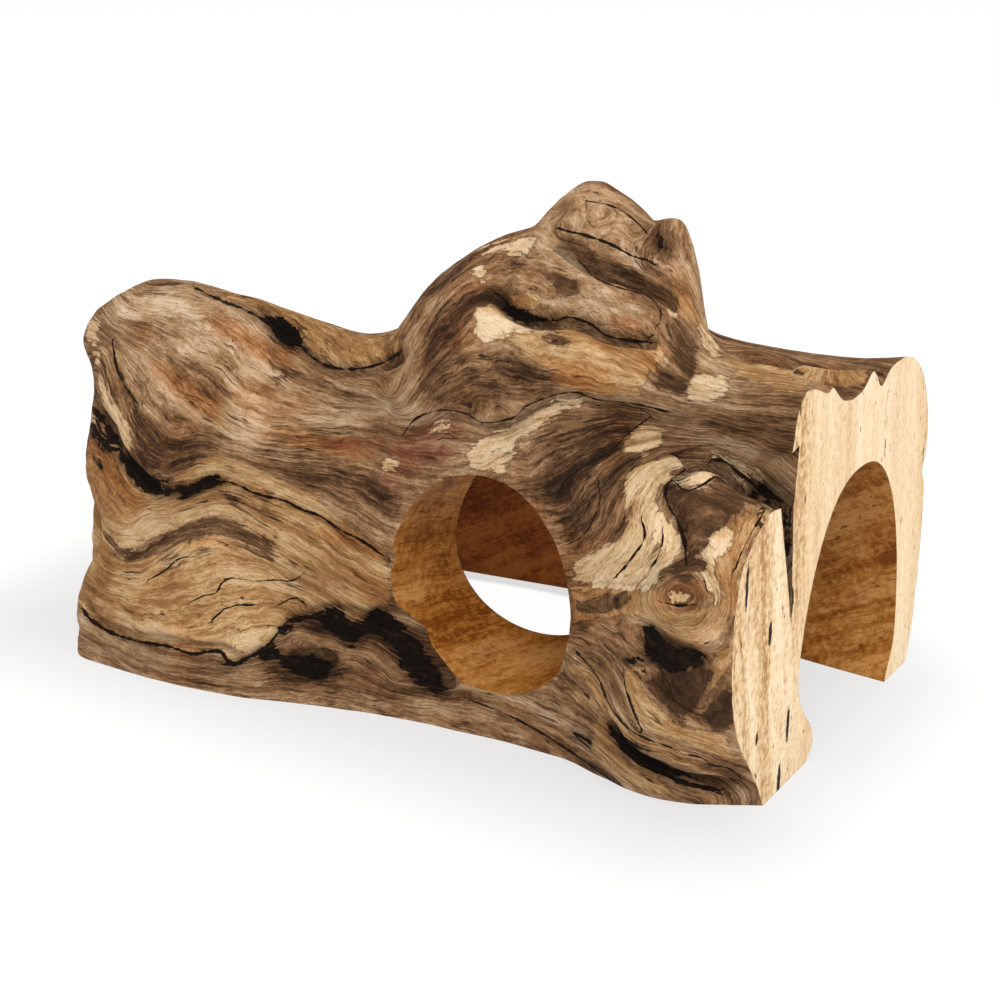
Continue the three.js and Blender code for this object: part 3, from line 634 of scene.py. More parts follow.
    Patch("foot end", Look.DARK, ((694, 755), (738, 758), (749, 773), (757, 784), (725, 779), (702, 766))),
    Patch("back lower", Look.HONEY, (
        (-120, 12), (-60, 30), (-10, 18), (40, 22), (100, 14), (150, 20), (150, 48), (110, 60), (60, 56),
        (20, 40), (-40, 52), (-90, 48), (-130, 40)), View.BACK),
    Patch("back patch", Look.PALE, (
        (-60, 84), (-30, 76), (0, 82), (10, 92), (-20, 98), (-52, 96)), View.BACK),
    Patch("back grey", Look.DARK, (
        (20, 84), (70, 78), (130, 84), (150, 96), (110, 106), (50, 104), (24, 96)), View.BACK),
    Patch("back hollow", Look.CHAR_AND_SHADE, (
        (-30, 48), (-20, 55), (-6, 53), (4, 45), (-8, 41), (-22, 43)), View.BACK),
    Patch("back red", Look.RED, ((52, 50), (62, 60), (72, 54), (66, 44)), View.BACK),
    Patch("left end pale", Look.HONEY, (
        (-50, 12), (10, 20), (50, 14), (58, 50), (20, 56), (-30, 58)), View.LEFT),
    Patch("left end hollow", Look.CHAR_AND_SHADE, ((4, 108), (14, 110), (18, 102), (10, 97), (3, 101)), View.LEFT),
    Patch("shelf dark", Look.DARK, ((100, -8), (152, -8), (152, 12), (110, 12)), View.TOP),
    Patch("shelf dark, back", Look.DARK, ((90, 26), (152, 24), (152, 36), (100, 38)), View.TOP),
    Patch("shelf honey", Look.HONEY, ((110, 13), (152, 13), (152, 24), (104, 24)), View.TOP),
    Patch("top left honey", Look.HONEY, (
        (-120, -6), (-60, -12), (-30, 4), (-60, 20), (-110, 24)), View.TOP),
)

GRAIN = (
    GrainLine(136, ((112, 296), (150, 284), (200, 288), (255, 314), (300, 350), (345, 384), (385, 392))),
    GrainLine(118, ((118, 318), (165, 328), (215, 358), (265, 392), (325, 412), (385, 410))),
    GrainLine(102, ((114, 340), (145, 372), (185, 410), (230, 438), (290, 452), (355, 450))),
    GrainLine(88, (
        (104, 350), (114, 400), (140, 448), (170, 466), (215, 452), (260, 466), (330, 486), (385, 520))),
    GrainLine(76, (
        (94, 410), (120, 450), (152, 491), (195, 487), (232, 483), (285, 501), (340, 530), (387, 558))),
    GrainLine(64, (
        (88, 470), (108, 515), (132, 530), (170, 514), (222, 502), (270, 520), (330, 556), (388, 590))),
    GrainLine(56, (
        (102, 533), (122, 556), (150, 544), (200, 524), (245, 527), (290, 556), (345, 588), (392, 612))),
    GrainLine(44, ((92, 560), (130, 582), (180, 568), (222, 556), (262, 566), (310, 590))),
    GrainLine(34, ((84, 585), (130, 612), (180, 618), (222, 600), (262, 596), (300, 602))),
    GrainLine(24, (
        (82, 608), (142, 642), (195, 654), (250, 657), (290, 635), (330, 640), (370, 652), (400, 680))),
    GrainLine(8, (
        (84, 640), (150, 668), (230, 684), (330, 690), (400, 700), (470, 716), (540, 740), (610, 780))),
    GrainLine(150, (
        (386, 392), (400, 332), (430, 284), (470, 254), (520, 232), (560, 214), (600, 214), (640, 230))),
    GrainLine(138, (
        (396, 402), (418, 352), (448, 312), (478, 292), (510, 305), (555, 321), (605, 335), (650, 343))),
    GrainLine(127, (
        (404, 414), (432, 384), (462, 362), (500, 354), (545, 374), (600, 386), (650, 390), (690, 404))),
    GrainLine(118, (
        (410, 424), (445, 410), (480, 420), (515, 415), (555, 395), (610, 402), (660, 412), (730, 424),
        (800, 436))),
    GrainLine(150, (
        (565, 246), (600, 268), (645, 284), (672, 300), (692, 330), (716, 362), (760, 374), (803, 384))),
    GrainLine(160, (
        (566, 226), (610, 244), (652, 262), (676, 284), (700, 320), (722, 352), (770, 362), (803, 370))),
    GrainLine(106, ((470, 456), (520, 436), (570, 426), (620, 414), (668, 426), (730, 442), (798, 464))),
    GrainLine(92, ((560, 492), (590, 466), (620, 446), (660, 436), (706, 442), (750, 456), (795, 480))),
    GrainLine(80, (
        (572, 548), (602, 520), (618, 486), (640, 466), (676, 452), (716, 450), (752, 468), (785, 494))),
    GrainLine(70, ((572, 582), (604, 560), (636, 528), (644, 494), (668, 468), (704, 456))),
    GrainLine(62, ((572, 600), (612, 590), (646, 574), (664, 548), (656, 516), (664, 486))),
    GrainLine(52, (
        (646, 596), (656, 578), (684, 568), (710, 578), (720, 600), (708, 618), (682, 626), (656, 616),
        (646, 596))),
    GrainLine(42, ((668, 596), (680, 588), (694, 596), (682, 606), (668, 596))),
    GrainLine(62, ((770, 508), (748, 548), (738, 590), (734, 630), (722, 668), (700, 706))),
    GrainLine(64, ((570, 616), (610, 612), (640, 628), (662, 650), (690, 662), (704, 672))),
    GrainLine(52, ((568, 640), (600, 654), (618, 680), (628, 706), (644, 730), (680, 748), (722, 760))),
    GrainLine(40, ((560, 656), (590, 688), (606, 714), (632, 740), (670, 754), (720, 770))),
    GrainLine(28, ((520, 690), (570, 712), (606, 740), (630, 762), (672, 782), (720, 794))),
    GrainLine(170, ((-110, 5), (-60, 8), (-10, 16), (40, 26), (90, 12), (150, 4)), View.TOP),
    GrainLine(196, ((-110, 44), (-60, 48), (0, 52), (60, 48), (150, 48)), View.TOP),
    GrainLine(224, ((-125, 74), (-80, 82), (-30, 74), (30, 84), (90, 76), (150, 84)), View.BACK),
    GrainLine(250, ((-120, 50), (-60, 58), (0, 46), (60, 60), (110, 50), (150, 56)), View.BACK),
    GrainLine(276, ((-110, 18), (-60, 26), (0, 16), (70, 24), (150, 16)), View.BACK),
    GrainLine(110, ((-30, 100), (0, 96), (30, 92), (55, 80)), View.LEFT),
    GrainLine(78, ((-50, 68), (-5, 74), (30, 62), (58, 64)), View.LEFT),
    GrainLine(40, ((-56, 30), (0, 36), (60, 30)), View.LEFT),
)

WEATHERED_UMBER = (0.030, 0.015, 0.0075, 1)
UMBER = (0.088, 0.043, 0.020, 1)
BROWN = (0.180, 0.090, 0.040, 1)
MID_BROWN = (0.295, 0.155, 0.071, 1)
TAN = (0.41, 0.238, 0.118, 1)
SAND = (0.565, 0.375, 0.215, 1)
LIGHT_SAND = (0.74, 0.54, 0.36, 1)
HONEY_DARK = (0.17, 0.073, 0.026, 1)
HONEY_BROWN = (0.28, 0.133, 0.049, 1)
HONEY = (0.41, 0.210, 0.078, 1)
LIGHT_HONEY = (0.58, 0.355, 0.165, 1)
CREAM = (0.76, 0.52, 0.29, 1)
LIGHT_CREAM = (0.88, 0.67, 0.43, 1)
SAWN_CREAM = (0.87, 0.66, 0.41, 1)
SAWN_PALE = (0.93, 0.76, 0.53, 1)
RUST = (0.93, 0.70, 0.52, 1)
PIT_BLACK = (0.009, 0.006, 0.004, 1)
# dark of the cracks and slits, and painted shade in the narrow creases
CRACK_AND_SHADE_DARK = (0.018, 0.010, 0.006, 1)
RUSSET = (0.24, 0.078, 0.040, 1)
CARVED_DARK = (0.19, 0.055, 0.007, 1)
CARVED_MID = (0.36, 0.14, 0.024, 1)
CARVED_LIGHT = (0.52, 0.255, 0.078, 1)
DEEP_SHADE = (0.50, 0.31, 0.15, 1)

Array = np.ndarray


def hermite(knots: tuple, x: Array) -> Array:
    """Cubic through [x, value...] knots, level beyond the ends.

    Args:
        knots: rows of x and one or more values.
        x: places to read the curve at.

    Returns:
        One row of values for each x.
    """
    k = np.asarray(knots, float)
    run = np.vstack([k[1:], k[-1:]]) - np.vstack([k[:1], k[:-1]])
    slope = run[:, 1:] / run[:, :1]
    x = np.clip(np.asarray(x, float), k[0, 0], k[-1, 0])
    i = np.clip(np.searchsorted(k[:, 0], x, side="right") - 1, 0, len(k) - 2)
    h = (k[i + 1, 0] - k[i, 0])[:, None]
    t = (x - k[i, 0])[:, None] / h
    return ((2 * t**3 - 3 * t**2 + 1) * k[i, 1:] + (t**3 - 2 * t**2 + t) * h * slope[i]
            + (-2 * t**3 + 3 * t**2) * k[i + 1, 1:] + (t**3 - t**2) * h * slope[i + 1])


def between(a: Array, b: Array, c: Array, d: Array, t: Union[float, Array]) -> Array:
    """The share t of the way from b to c, on a Catmull-Rom curve through a, b, c and d."""
    return 0.5 * (2 * b + (c - a) * t + (2 * a - 5 * b + 4 * c - d) * t**2 + (3 * b - a - 3 * c + d) * t**3)


def smooth_path(path: tuple, step: float) -> Array:
    """A smooth curve through a path.

    Args:
        path: its points, of any number of coordinates.
        step: the spacing of the result, roughly.

    Returns:
        Points along the curve.
    """
    p = np.asarray(path, float)
    if len(p) == 1:
        return p
    p = np.vstack([2 * p[0] - p[1], p, 2 * p[-1] - p[-2]])
    out = []
    for i in range(1, len(p) - 2):
        a, b, c, d = p[i - 1:i + 3]
        n = max(1, int(np.linalg.norm(c - b) / step))
        out.append(between(a, b, c, d, (np.arange(n) / n)[:, None]))
    out.append(p[-2:-1])
    return np.vstack(out)


def rounded_end(rings: int) -> tuple:
    """The shape of a closed left end.

    Args:
        rings: rings that it would have with its hub.

    Returns:
        How far out each ring lies and how wide it is, as shares of the whole.
    """
    turn = np.arange(1, rings) / rings * math.pi / 2
    return np.cos(turn) ** (2 / CAP_POWER), np.sin(turn) ** (2 / CAP_POWER)


def eased(size: float, t: Array) -> Array:
    """A size that comes in from 0 as t goes from 0 to 1, level at both ends."""
    t = np.clip(t, 0, 1)
    return size * t * t * (3 - 2 * t)


def closed_skin(rings: Array) -> tuple:
    """A skin over rings, closed by a fan at each end.

    Args:
        rings: coordinates [ring, point, axis].

    Returns:
        Its vertices and its faces.
    """
    count, n = rings.shape[:2]
    points = rings.reshape(-1, 3)
    k = np.arange(n)
    faces = []
    for r in range(count - 1):
        a = r * n + k
        b = r * n + (k + 1) % n
        faces.extend(np.stack([a, b, b + n, a + n], 1).tolist())
    hubs = [rings[0].mean(0), rings[-1].mean(0)]
    first, last = len(points), len(points) + 1
    end = (count - 1) * n
    faces.extend([[(i + 1) % n, i, first] for i in range(n)])
    faces.extend([[end + i, end + (i + 1) % n, last] for i in range(n)])
    return np.vstack([points, hubs]), faces


def make_object(name: str, points: Array, faces: list, region: Region, materials: list) -> bpy.types.Object:
    """A mesh object whose faces all belong to one region.

    Args:
        name: the object's name.
        points: its vertices in millimetres.
        faces: its faces over them.
        region: their region.
        materials: the materials in the order of Region.

    Returns:
        The object, in the scene.
    """
    mesh = bpy.data.meshes.new(name)
    mesh.from_pydata((points * MM).tolist(), [], faces)
    for material in materials:
        mesh.materials.append(material)
    mesh.polygons.foreach_set("material_index", [region.value] * len(mesh.polygons))
    shape = bmesh.new()
    shape.from_mesh(mesh)
    bmesh.ops.recalc_face_normals(shape, faces=shape.faces)
    bmesh.ops.triangulate(shape, faces=shape.faces)
    shape.to_mesh(mesh)
    shape.free()
    piece = bpy.data.objects.new(name, mesh)
    bpy.context.scene.collection.objects.link(piece)
    return piece


def away_from(points: Array, a: Array, b: Array) -> Array:
    """The shortest way from an edge to points.

    Args:
        points: 2-D points.
        a: one end of the edge.
        b: its other end.

    Returns:
        A vector to each point.
    """
    edge = b - a
    t = np.clip(((points - a) @ edge) / max(edge @ edge, 1e-9), 0, 1)
    return points - a - t[:, None] * edge


def polygon_distance(points: Array, outline: tuple) -> Array:
    """How far inside a closed outline points lie.

    Args:
        points: 2-D points.
        outline: corners of the outline.

    Returns:
        The distance of each point to the outline, above 0 inside it.
    """
    corners = np.asarray(outline, float)
    best = np.full(len(points), np.inf)
    inside = np.zeros(len(points), bool)
    for a, b in zip(corners, np.roll(corners, -1, axis=0)):
        best = np.minimum(best, np.linalg.norm(away_from(points, a, b), axis=1))
        if a[1] != b[1]:
            cross = a[0] + (points[:, 1] - a[1]) / (b[1] - a[1]) * (b - a)[0]
            inside ^= ((a[1] > points[:, 1]) != (b[1] > points[:, 1])) & (points[:, 0] < cross)
    return np.where(inside, best, -best)


def side_distance(points: Array, path: Array) -> Array:
    """How far to the side of an open path points lie.

    Args:
        points: 2-D points.
        path: points of the path.

    Returns:
        The distance of each point to the path, below 0 on one side of it.
    """
    best = np.full(len(points), np.inf)
    signed = np.zeros(len(points))
    for a, b in zip(path[:-1], path[1:]):
        away = away_from(points, a, b)
        gap = np.linalg.norm(away, axis=1)
        side = np.sign((b - a)[0] * away[:, 1] - (b - a)[1] * away[:, 0])
        nearer = gap < best
        best = np.where(nearer, gap, best)
        signed = np.where(nearer, side * gap, signed)
    return signed


def tree_of(points: Array) -> kdtree.KDTree:
    """A search tree over points.

    Args:
        points: their coordinates.

    Returns:
        The tree, ready to search.
    """
    tree = kdtree.KDTree(len(points))
    for i, p in enumerate(points):
        tree.insert(p, i)
    tree.balance()
    return tree


@dataclass
class Sketch:
    """Carries marks drawn in one view onto a surface, and reads the surface's points in that view.

    Args:
        view: the view drawn in.
        tree: the surface, in millimetres.
    """

    view: View
    tree: BVHTree

    def ray(self, u: float, v: float) -> tuple:
        """The line of sight through a point of the view.

        Args:
            u: the point's first coordinate.
            v: its second one.

        Returns:
            Where the line starts, and its direction.
        """
        if self.view is View.PHOTO:
            half = PHOTO_SIZE / 2
            aim = AHEAD + SIDE * (u - half) / FOCAL_PIXELS + DOWN * (v - half) / FOCAL_PIXELS
            return CAMERA_PLACE, aim / np.linalg.norm(aim)
        if self.view is View.BACK:
            return np.array([u, FAR, v]), np.array([0.0, -1.0, 0.0])
        if self.view is View.LEFT:
            return np.array([-FAR, u, v]), np.array([1.0, 0.0, 0.0])
        return np.array([u, v, FAR]), np.array([0.0, 0.0, -1.0])

    def flatten(self, points: Array) -> Array:
        """Where points lie in the view.

        Args:
            points: points in space.

        Returns:
            Their coordinates in the view.
        """
        if self.view is View.PHOTO:
            away = points - CAMERA_PLACE
            depth = away @ AHEAD
            half = PHOTO_SIZE / 2
            return np.stack([half + FOCAL_PIXELS * (away @ axis) / depth for axis in (SIDE, DOWN)], 1)
        axes = {View.BACK: (0, 2), View.LEFT: (1, 2), View.TOP: (0, 1), View.SPACE: (0, 1, 2)}[self.view]
        return points[:, axes]

    def unit(self, points: Array) -> Array:
        """The scale of the view.

        Args:
            points: points in space.

        Returns:
            Millimetres for one unit of the view at each of them.
        """
        if self.view is View.PHOTO:
            return (points - CAMERA_PLACE) @ AHEAD / FOCAL_PIXELS
        return np.ones(len(points))

    def choose(self, pixels: float, lengths: float) -> float:
        """A spacing for this view: in pixels for the photograph, in millimetres for the others."""
        return pixels if self.view is View.PHOTO else lengths

    def lift(self, flat: Array) -> tuple:
        """Finds the surface under points of the view.

        Args:
            flat: points in the units of the view.

        Returns:
            The points of the surface, and the indices of the flat points that have one.
        """
        if self.view is View.SPACE:
            nearest = [tuple(self.tree.find_nearest(Vector(p))[0]) for p in flat]
            return np.array(nearest), np.arange(len(flat))
        found, kept = [], []
        for i, (u, v) in enumerate(flat):
            start, aim = self.ray(u, v)
            hit = self.tree.ray_cast(Vector(start), Vector(aim))[0]
            if hit is not None:
                found.append(tuple(hit))
                kept.append(i)
        return np.array(found).reshape(-1, 3), np.array(kept, int)

    def draw(self, path: tuple) -> Array:
        """Closely spaced points of a mark's path, in the units of the view."""
        return smooth_path(path, self.choose(3.0, 1.2))


@dataclass
class Skin:
    """The outside of the root before it is cut.

    Args:
        left_x: where the closed left end lies.
        cap_x: where the skin starts to round off towards it.
        cap_rings: rings in the rounded end.
        step: spacing of the other rings.
        front_fineness: faces of the skin for one facet of the coarse solid, on the front and the top.
        back_fineness: the same on the back.
        heart: y and z of the heart of the root.
        narrow: reach below which a crease is darkened with painted shade.
        points: vertices in millimetres.
        faces: faces over them.
        crease: depth of the narrow creases at each vertex.
    """

    left_x: float = -153.5
    cap_x: float = -110.0
    cap_rings: int = 30
    step: float = 1.9
    front_fineness: int = 5
    back_fineness: int = 3
    heart: tuple = (20.0, 60.0)
    narrow: float = 8.0
    points: Array = field(default_factory=lambda: np.zeros((0, 3)))
    faces: list = field(default_factory=list)
    crease: Array = field(default_factory=lambda: np.zeros(0))

    def lay(self) -> None:
        """Lays the smooth skin over the rails."""
        out, wide = rounded_end(self.cap_rings)
        steps = round((END_X + OVERRUN - self.cap_x) / self.step)
        along = np.linspace(self.cap_x, END_X + OVERRUN, steps + 1)
        x = np.concatenate([self.cap_x - (self.cap_x - self.left_x) * out, along])
        shrink = np.concatenate([wide, np.ones(steps + 1)])
        posts = np.stack([hermite(rail.knots, x) for rail in RAILS], 1)
        columns = []
        for k, rail in enumerate(RAILS):
            a, b, c, d = (posts[:, (k + j) % len(RAILS)] for j in (-1, 0, 1, 2))
            fineness = self.back_fineness if rail.name in BACK_RAILS else self.front_fineness
            count = rail.facets * fineness
            columns.extend(between(a, b, c, d, n / count) for n in range(count))
        heart = np.array(self.heart)
        yz = heart + (np.stack(columns, 1) - heart) * shrink[:, None, None]
        rings = np.concatenate([np.repeat(x[:, None, None], yz.shape[1], 1), yz], 2)
        self.points, self.faces = closed_skin(rings)

    def tree(self) -> BVHTree:
        """A ray tree over the skin."""
        return BVHTree.FromPolygons(self.points.tolist(), self.faces)

    def outward(self) -> Array:
        """The direction away from the heart of the root.

        Returns:
            A unit vector for each vertex.
        """
        x, y, z = self.points.T
        out = np.stack([2 * np.minimum(x - self.cap_x, 0), y - self.heart[0], z - self.heart[1]], 1)
        return out / np.linalg.norm(out, axis=1, keepdims=True)

    def lumps(self) -> Array:
        """Small unevenness in millimetres, in round lumps and in ribs along the block.

        Returns:
            One height for each vertex.
        """
        lump, rib_length, rib_width = 22, 14, 5
        heights = []
        for p in self.points:
            ribs = noise.noise(Vector((p[0] / rib_length, p[1] / rib_width, p[2] / rib_width)))
            heights.append(noise.noise(Vector(p) / lump) * 0.9 + ribs * 0.55)
        return np.array(heights)

    def weather(self) -> None:
        """Raises the swellings, cuts the creases and roughens the skin a little."""
        sketches = {view: Sketch(view, self.tree()) for view in View}
        rise = np.zeros(len(self.points))
        depth = np.zeros(len(self.points))
        for mark in MARKS:
            sketch = sketches[mark.view]
            lifted, _ = sketch.lift(sketch.draw(mark.path))
            if not len(lifted):
                log.warning("%s lies off the block", mark.name)
                continue
            reach = 3 * mark.reach
            low, high = lifted.min(0) - reach, lifted.max(0) + reach
            near = np.flatnonzero(((self.points > low) & (self.points < high)).all(1))
            gap = self.points[near][:, None, :] - lifted[None]
            away = np.sqrt((gap**2).sum(2).min(1)) / mark.reach
            change = mark.rise * np.exp(-away**2)
            rise[near] += change
            if mark.rise < 0 and mark.reach < self.narrow:
                depth[near] = np.minimum(depth[near], change)
        self.points = self.points + self.outward() * (rise + self.lumps())[:, None]
        self.crease = -depth

    def trim(self) -> None:
        """Keeps the skin inside the solid's box, except at the saw cuts."""
        low, high = np.array(CAD_BOX[0]) / MM, np.array(CAD_BOX[1]) / MM
        self.points = np.clip(self.points, [low[0], low[1], -FAR], [FAR, high[1], high[2]])


@dataclass
class Surface:
    """What the outside looks like at each vertex of the skin.

    Args:
        skin: the weathered skin.
        neighbours: samples that a vertex takes its look from.
        near: gap to the nearest sample beyond which a look fades.
        crack_reach: distance up to which a crack's width is worked out.
        off_crack: place across a crack, in half widths, beyond that.
        slack: how loosely the grain follows its lines.
        shares: shares in which the vertices are worked through.
    """

    skin: Skin
    neighbours: int = 4
    near: float = 3.5
    crack_reach: float = 12.0
    off_crack: float = 99.0
    slack: float = 1.5
    shares: int = 40

    def fields(self) -> dict:
        """All values that the materials read.

        Returns:
            One value for each vertex, by name.
        """
        sketches = {view: Sketch(view, self.skin.tree()) for view in View}
        out = {look.value: np.full(len(self.skin.points), NOWHERE) for look in Look}
        for sketch in sketches.values():
            for name, values in self.looks(sketch).items():
                out[name] = np.maximum(out[name], values)
        out["crease"] = self.skin.crease
        out["crack"], out["crack_gap"] = self.cracks(sketches)
        out["grain"] = self.grain(sketches)
        return out

    def looks(self, sketch: Sketch) -> dict:
        """The patches of each look, as drawn in one view.

        Args:
            sketch: the view.

        Returns:
            The distance inside them at each vertex, by the name of the look.
        """
        patches = [p for p in PATCHES if p.view is sketch.view]
        if not patches:
            return {}
        drawn = np.vstack([p.outline for p in patches])
        step = sketch.choose(5.0, 2.5)
        margin = 4 * step
        u = np.arange(drawn[:, 0].min() - margin, drawn[:, 0].max() + margin, step)
        v = np.arange(drawn[:, 1].min() - margin, drawn[:, 1].max() + margin, step)
        flat = np.stack(np.meshgrid(u, v), 2).reshape(-1, 2)
        lifted, kept = sketch.lift(flat)
        flat = flat[kept]
        unit = sketch.unit(lifted)
        samples = {look: np.full(len(flat), NOWHERE) for look in Look}
        for patch in patches:
            inside = polygon_distance(flat, patch.outline) * unit
            samples[patch.look] = np.maximum(samples[patch.look], inside)
        tree = tree_of(lifted)
        found = [tree.find_n(p, self.neighbours) for p in self.skin.points]
        index = np.array([[k for _, k, _ in near] for near in found])
        gap = np.array([[far for _, _, far in near] for near in found])
        weight = 1 / (gap + 0.05) ** 2
        weight /= weight.sum(1, keepdims=True)
        beyond = np.maximum(gap[:, 0] - self.near, 0) * 3
        return {look.value: (samples[look][index] * weight).sum(1) - beyond for look in Look}

    def cracks(self, sketches: dict) -> tuple:
        """The nearest crack.

        Args:
            sketches: all views.

        Returns:
            The place across it in half widths and the distance to it in millimetres, at each vertex.
        """
        lifted, owner = [], []
        for i, crack in enumerate(CRACKS):
            sketch = sketches[crack.view]
            on, _ = sketch.lift(sketch.draw(crack.path))
            lifted.append(on)
            owner.extend([i] * len(on))
        tree = tree_of(np.vstack(lifted))
        nearest = [tree.find(p) for p in self.skin.points]
        gap = np.array([n[2] for n in nearest])
        mine = np.array(owner)[[n[1] for n in nearest]]
        across = np.full(len(gap), self.off_crack)
        for i, crack in enumerate(CRACKS):
            sketch = sketches[crack.view]
            chosen = np.flatnonzero((mine == i) & (gap < self.crack_reach))
            if len(chosen):
                points = self.skin.points[chosen]
                away = side_distance(sketch.flatten(points), sketch.draw(crack.path)) * sketch.unit(points)
                across[chosen] = away / (crack.width / 2)
        return across, gap

    def grain(self, sketches: dict) -> Array:
        """The place across the grain, smooth between the drawn grain lines.

        Args:
            sketches: all views.

        Returns:
            Millimetres at each vertex.
        """
        lifted, values = [], []
        for line in GRAIN:
            sketch = sketches[line.view]
            on, _ = sketch.lift(smooth_path(line.path, sketch.choose(24.0, 12.0)))
            lifted.append(on)
            values.extend([line.across] * len(on))
        centres = np.vstack(lifted)
        n = len(centres)
        system = np.zeros((n + 4, n + 4))
        system[:n, :n] = np.linalg.norm(centres[:, None] - centres[None], axis=2) - self.slack * np.eye(n)
        system[:n, n] = system[n, :n] = 1
        system[:n, n + 1:] = centres
        system[n + 1:, :n] = centres.T
        solved = np.linalg.solve(system, np.concatenate([values, np.zeros(4)]))
        out = []
        for part in np.array_split(self.skin.points, self.shares):
            reach = np.linalg.norm(part[:, None] - centres[None], axis=2)
            out.append(reach @ solved[:n] + solved[n] + part @ solved[n + 1:])
        return np.concatenate(out)


@dataclass(frozen=True)
class Chamber:
    """The arched chamber, open below and at the sawn end, and closed at the left.

    Args:
        posts: x, front wall, back wall and crown along it.
        cap_x: where it starts to round off towards its closed end.
        cap: how far the closed end lies beyond that.
        cap_rings: rings in the closed end.
        rings: rings in the rest.
        arch_points: points from the back foot of the arch to its front foot.
        arch_power: how square the arch is.
        toe: how far the front foot steps into the chamber at the sawn end.
        toe_run: length over which it comes in.
        toe_z: its height.
        toe_down: how far it reaches down from there.
        toe_up: how far it reaches up.
        heel: how far the back foot steps in.
        heel_from: x where it starts.
        heel_to: x where it is full.
        heel_up: how far it reaches up.
    """

    posts: tuple = (
        (-100, -44, 52, 84), (-60, -42, 60, 90), (-20, -36, 66, 96), (20, -28, 71, 100), (55, -25, 71, 101),
        (90, -28, 68, 100), (125, -32, 64, 98), (153, -33, 62, 97))
    cap_x: float = -96.0
    cap: float = 24.0
    cap_rings: int = 16
    rings: int = 80
    arch_points: int = 97
    arch_power: float = 2.35
    toe: float = 19.0
    toe_run: float = 26.0
    toe_z: float = 6.0
    toe_down: float = 10.0
    toe_up: float = 17.0
    heel: float = 7.0
    heel_from: float = 70.0
    heel_to: float = 120.0
    heel_up: float = 10.0

    def tool(self, materials: list) -> bpy.types.Object:
        """The shape that cuts the chamber.

        Args:
            materials: the block's materials.

        Returns:
            The tool.
        """
        out, wide = rounded_end(self.cap_rings)
        along = np.linspace(self.cap_x, END_X + OVERRUN, self.rings)
        x = np.concatenate([self.cap_x - self.cap * out, along])
        shrink = np.concatenate([wide, np.ones(self.rings)])
        front, back, top = hermite(self.posts, x).T
        middle = ((front + back) / 2)[:, None]
        half = ((back - front) / 2 * shrink)[:, None]
        top = (top * shrink)[:, None]
        even = np.linspace(0, 1, self.arch_points)[None]
        turn = math.pi * even - 0.4 * np.sin(2 * math.pi * even)
        over = np.cos(turn)
        y = middle + half * np.sign(over) * np.abs(over) ** (2 / self.arch_power)
        z = top * np.abs(np.sin(turn)) ** (2 / self.arch_power)
        toe = eased(self.toe, (x - END_X + self.toe_run) / self.toe_run)[:, None]
        reach = np.where(z > self.toe_z, self.toe_up, self.toe_down)
        y = y + np.where(over < 0, toe * np.exp(-(((z - self.toe_z) / reach) ** 2)), 0)
        heel = eased(self.heel, (x - self.heel_from) / (self.heel_to - self.heel_from))[:, None]
        y = y - np.where(over > 0, heel * np.exp(-((z / self.heel_up) ** 2)), 0)
        below = -OVERRUN * np.ones_like(middle)
        y = np.hstack([middle + half - heel, y, middle - half])
        z = np.hstack([below, z, below])
        rings = np.stack([np.repeat(x[:, None], y.shape[1], 1), y, z], 2)
        return make_object("chamber_tool", *closed_skin(rings), Region.CHAMBER, materials)


@dataclass(frozen=True)
class Doorway:
    """The round doorway through the front wall.

    Args:
        posts: y, x, z, half width and half height from the front to the inside.
        rings: rings along it.
        sides: points round it.
    """

    posts: tuple = (
        (-115, 44, 50, 43, 41), (-58, 49.5, 57, 39.5, 38), (-25, 49.5, 61.5, 36.8, 36), (6, 52, 66, 36, 36))
    rings: int = 60
    sides: int = 120

    def tool(self, materials: list) -> bpy.types.Object:
        """The shape that cuts the doorway.

        Args:
            materials: the block's materials.

        Returns:
            The tool.
        """
        y = np.linspace(self.posts[0][0], self.posts[-1][0], self.rings)
        x, z, wide, high = hermite(self.posts, y).T
        turn = np.linspace(0, 2 * math.pi, self.sides, endpoint=False)[None]
        rings = np.stack([x[:, None] + wide[:, None] * np.cos(turn), np.repeat(y[:, None], self.sides, 1),
                          z[:, None] + high[:, None] * np.sin(turn)], 2)
        return make_object("doorway_tool", *closed_skin(rings), Region.DOORWAY, materials)


@dataclass(frozen=True)
class Split:
    """The wedge that opens the split beside the burl.

    Args:
        posts: x, y and z of its mouth, and the share of its full section.
        section: the full section, as y and z from the mouth.
    """

    posts: tuple = (
        (165, -48, 108, 1), (153, -48, 108, 1), (140, -52, 110, 0.72), (126, -52, 113, 0.45),
        (112, -55, 113, 0.14))
    section: tuple = ((-9, 9), (7, 12), (5, -8), (7, -28), (9, -50), (3, -30), (-4, -8))

    def tool(self, materials: list) -> bpy.types.Object:
        """The shape that cuts the split.

        Args:
            materials: the block's materials.

        Returns:
            The tool.
        """
        rings = np.array([[(x, y + dy * share, z + dz * share) for dy, dz in self.section]
                          for x, y, z, share in self.posts], float)
        return make_object("split_tool", *closed_skin(rings), Region.OUTSIDE, materials)


@dataclass(frozen=True)
class Saw:
    """A straight saw cut.

    Args:
        name: what it cuts.
        low: lowest corner of what falls away.
        high: highest corner of it.
    """

    name: str
    low: tuple
    high: tuple

    def tool(self, materials: list) -> bpy.types.Object:
        """The block that falls away.

        Args:
            materials: the block's materials.

        Returns:
            The tool.
        """
        low, high = np.array(self.low, float), np.array(self.high, float)
        square = ((0, 0), (1, 0), (1, 1), (0, 1))
        corners = np.array([[(end, a, b) for a, b in square] for end in (0, 1)])
        return make_object(self.name, *closed_skin(low + corners * (high - low)), Region.SAWN, materials)


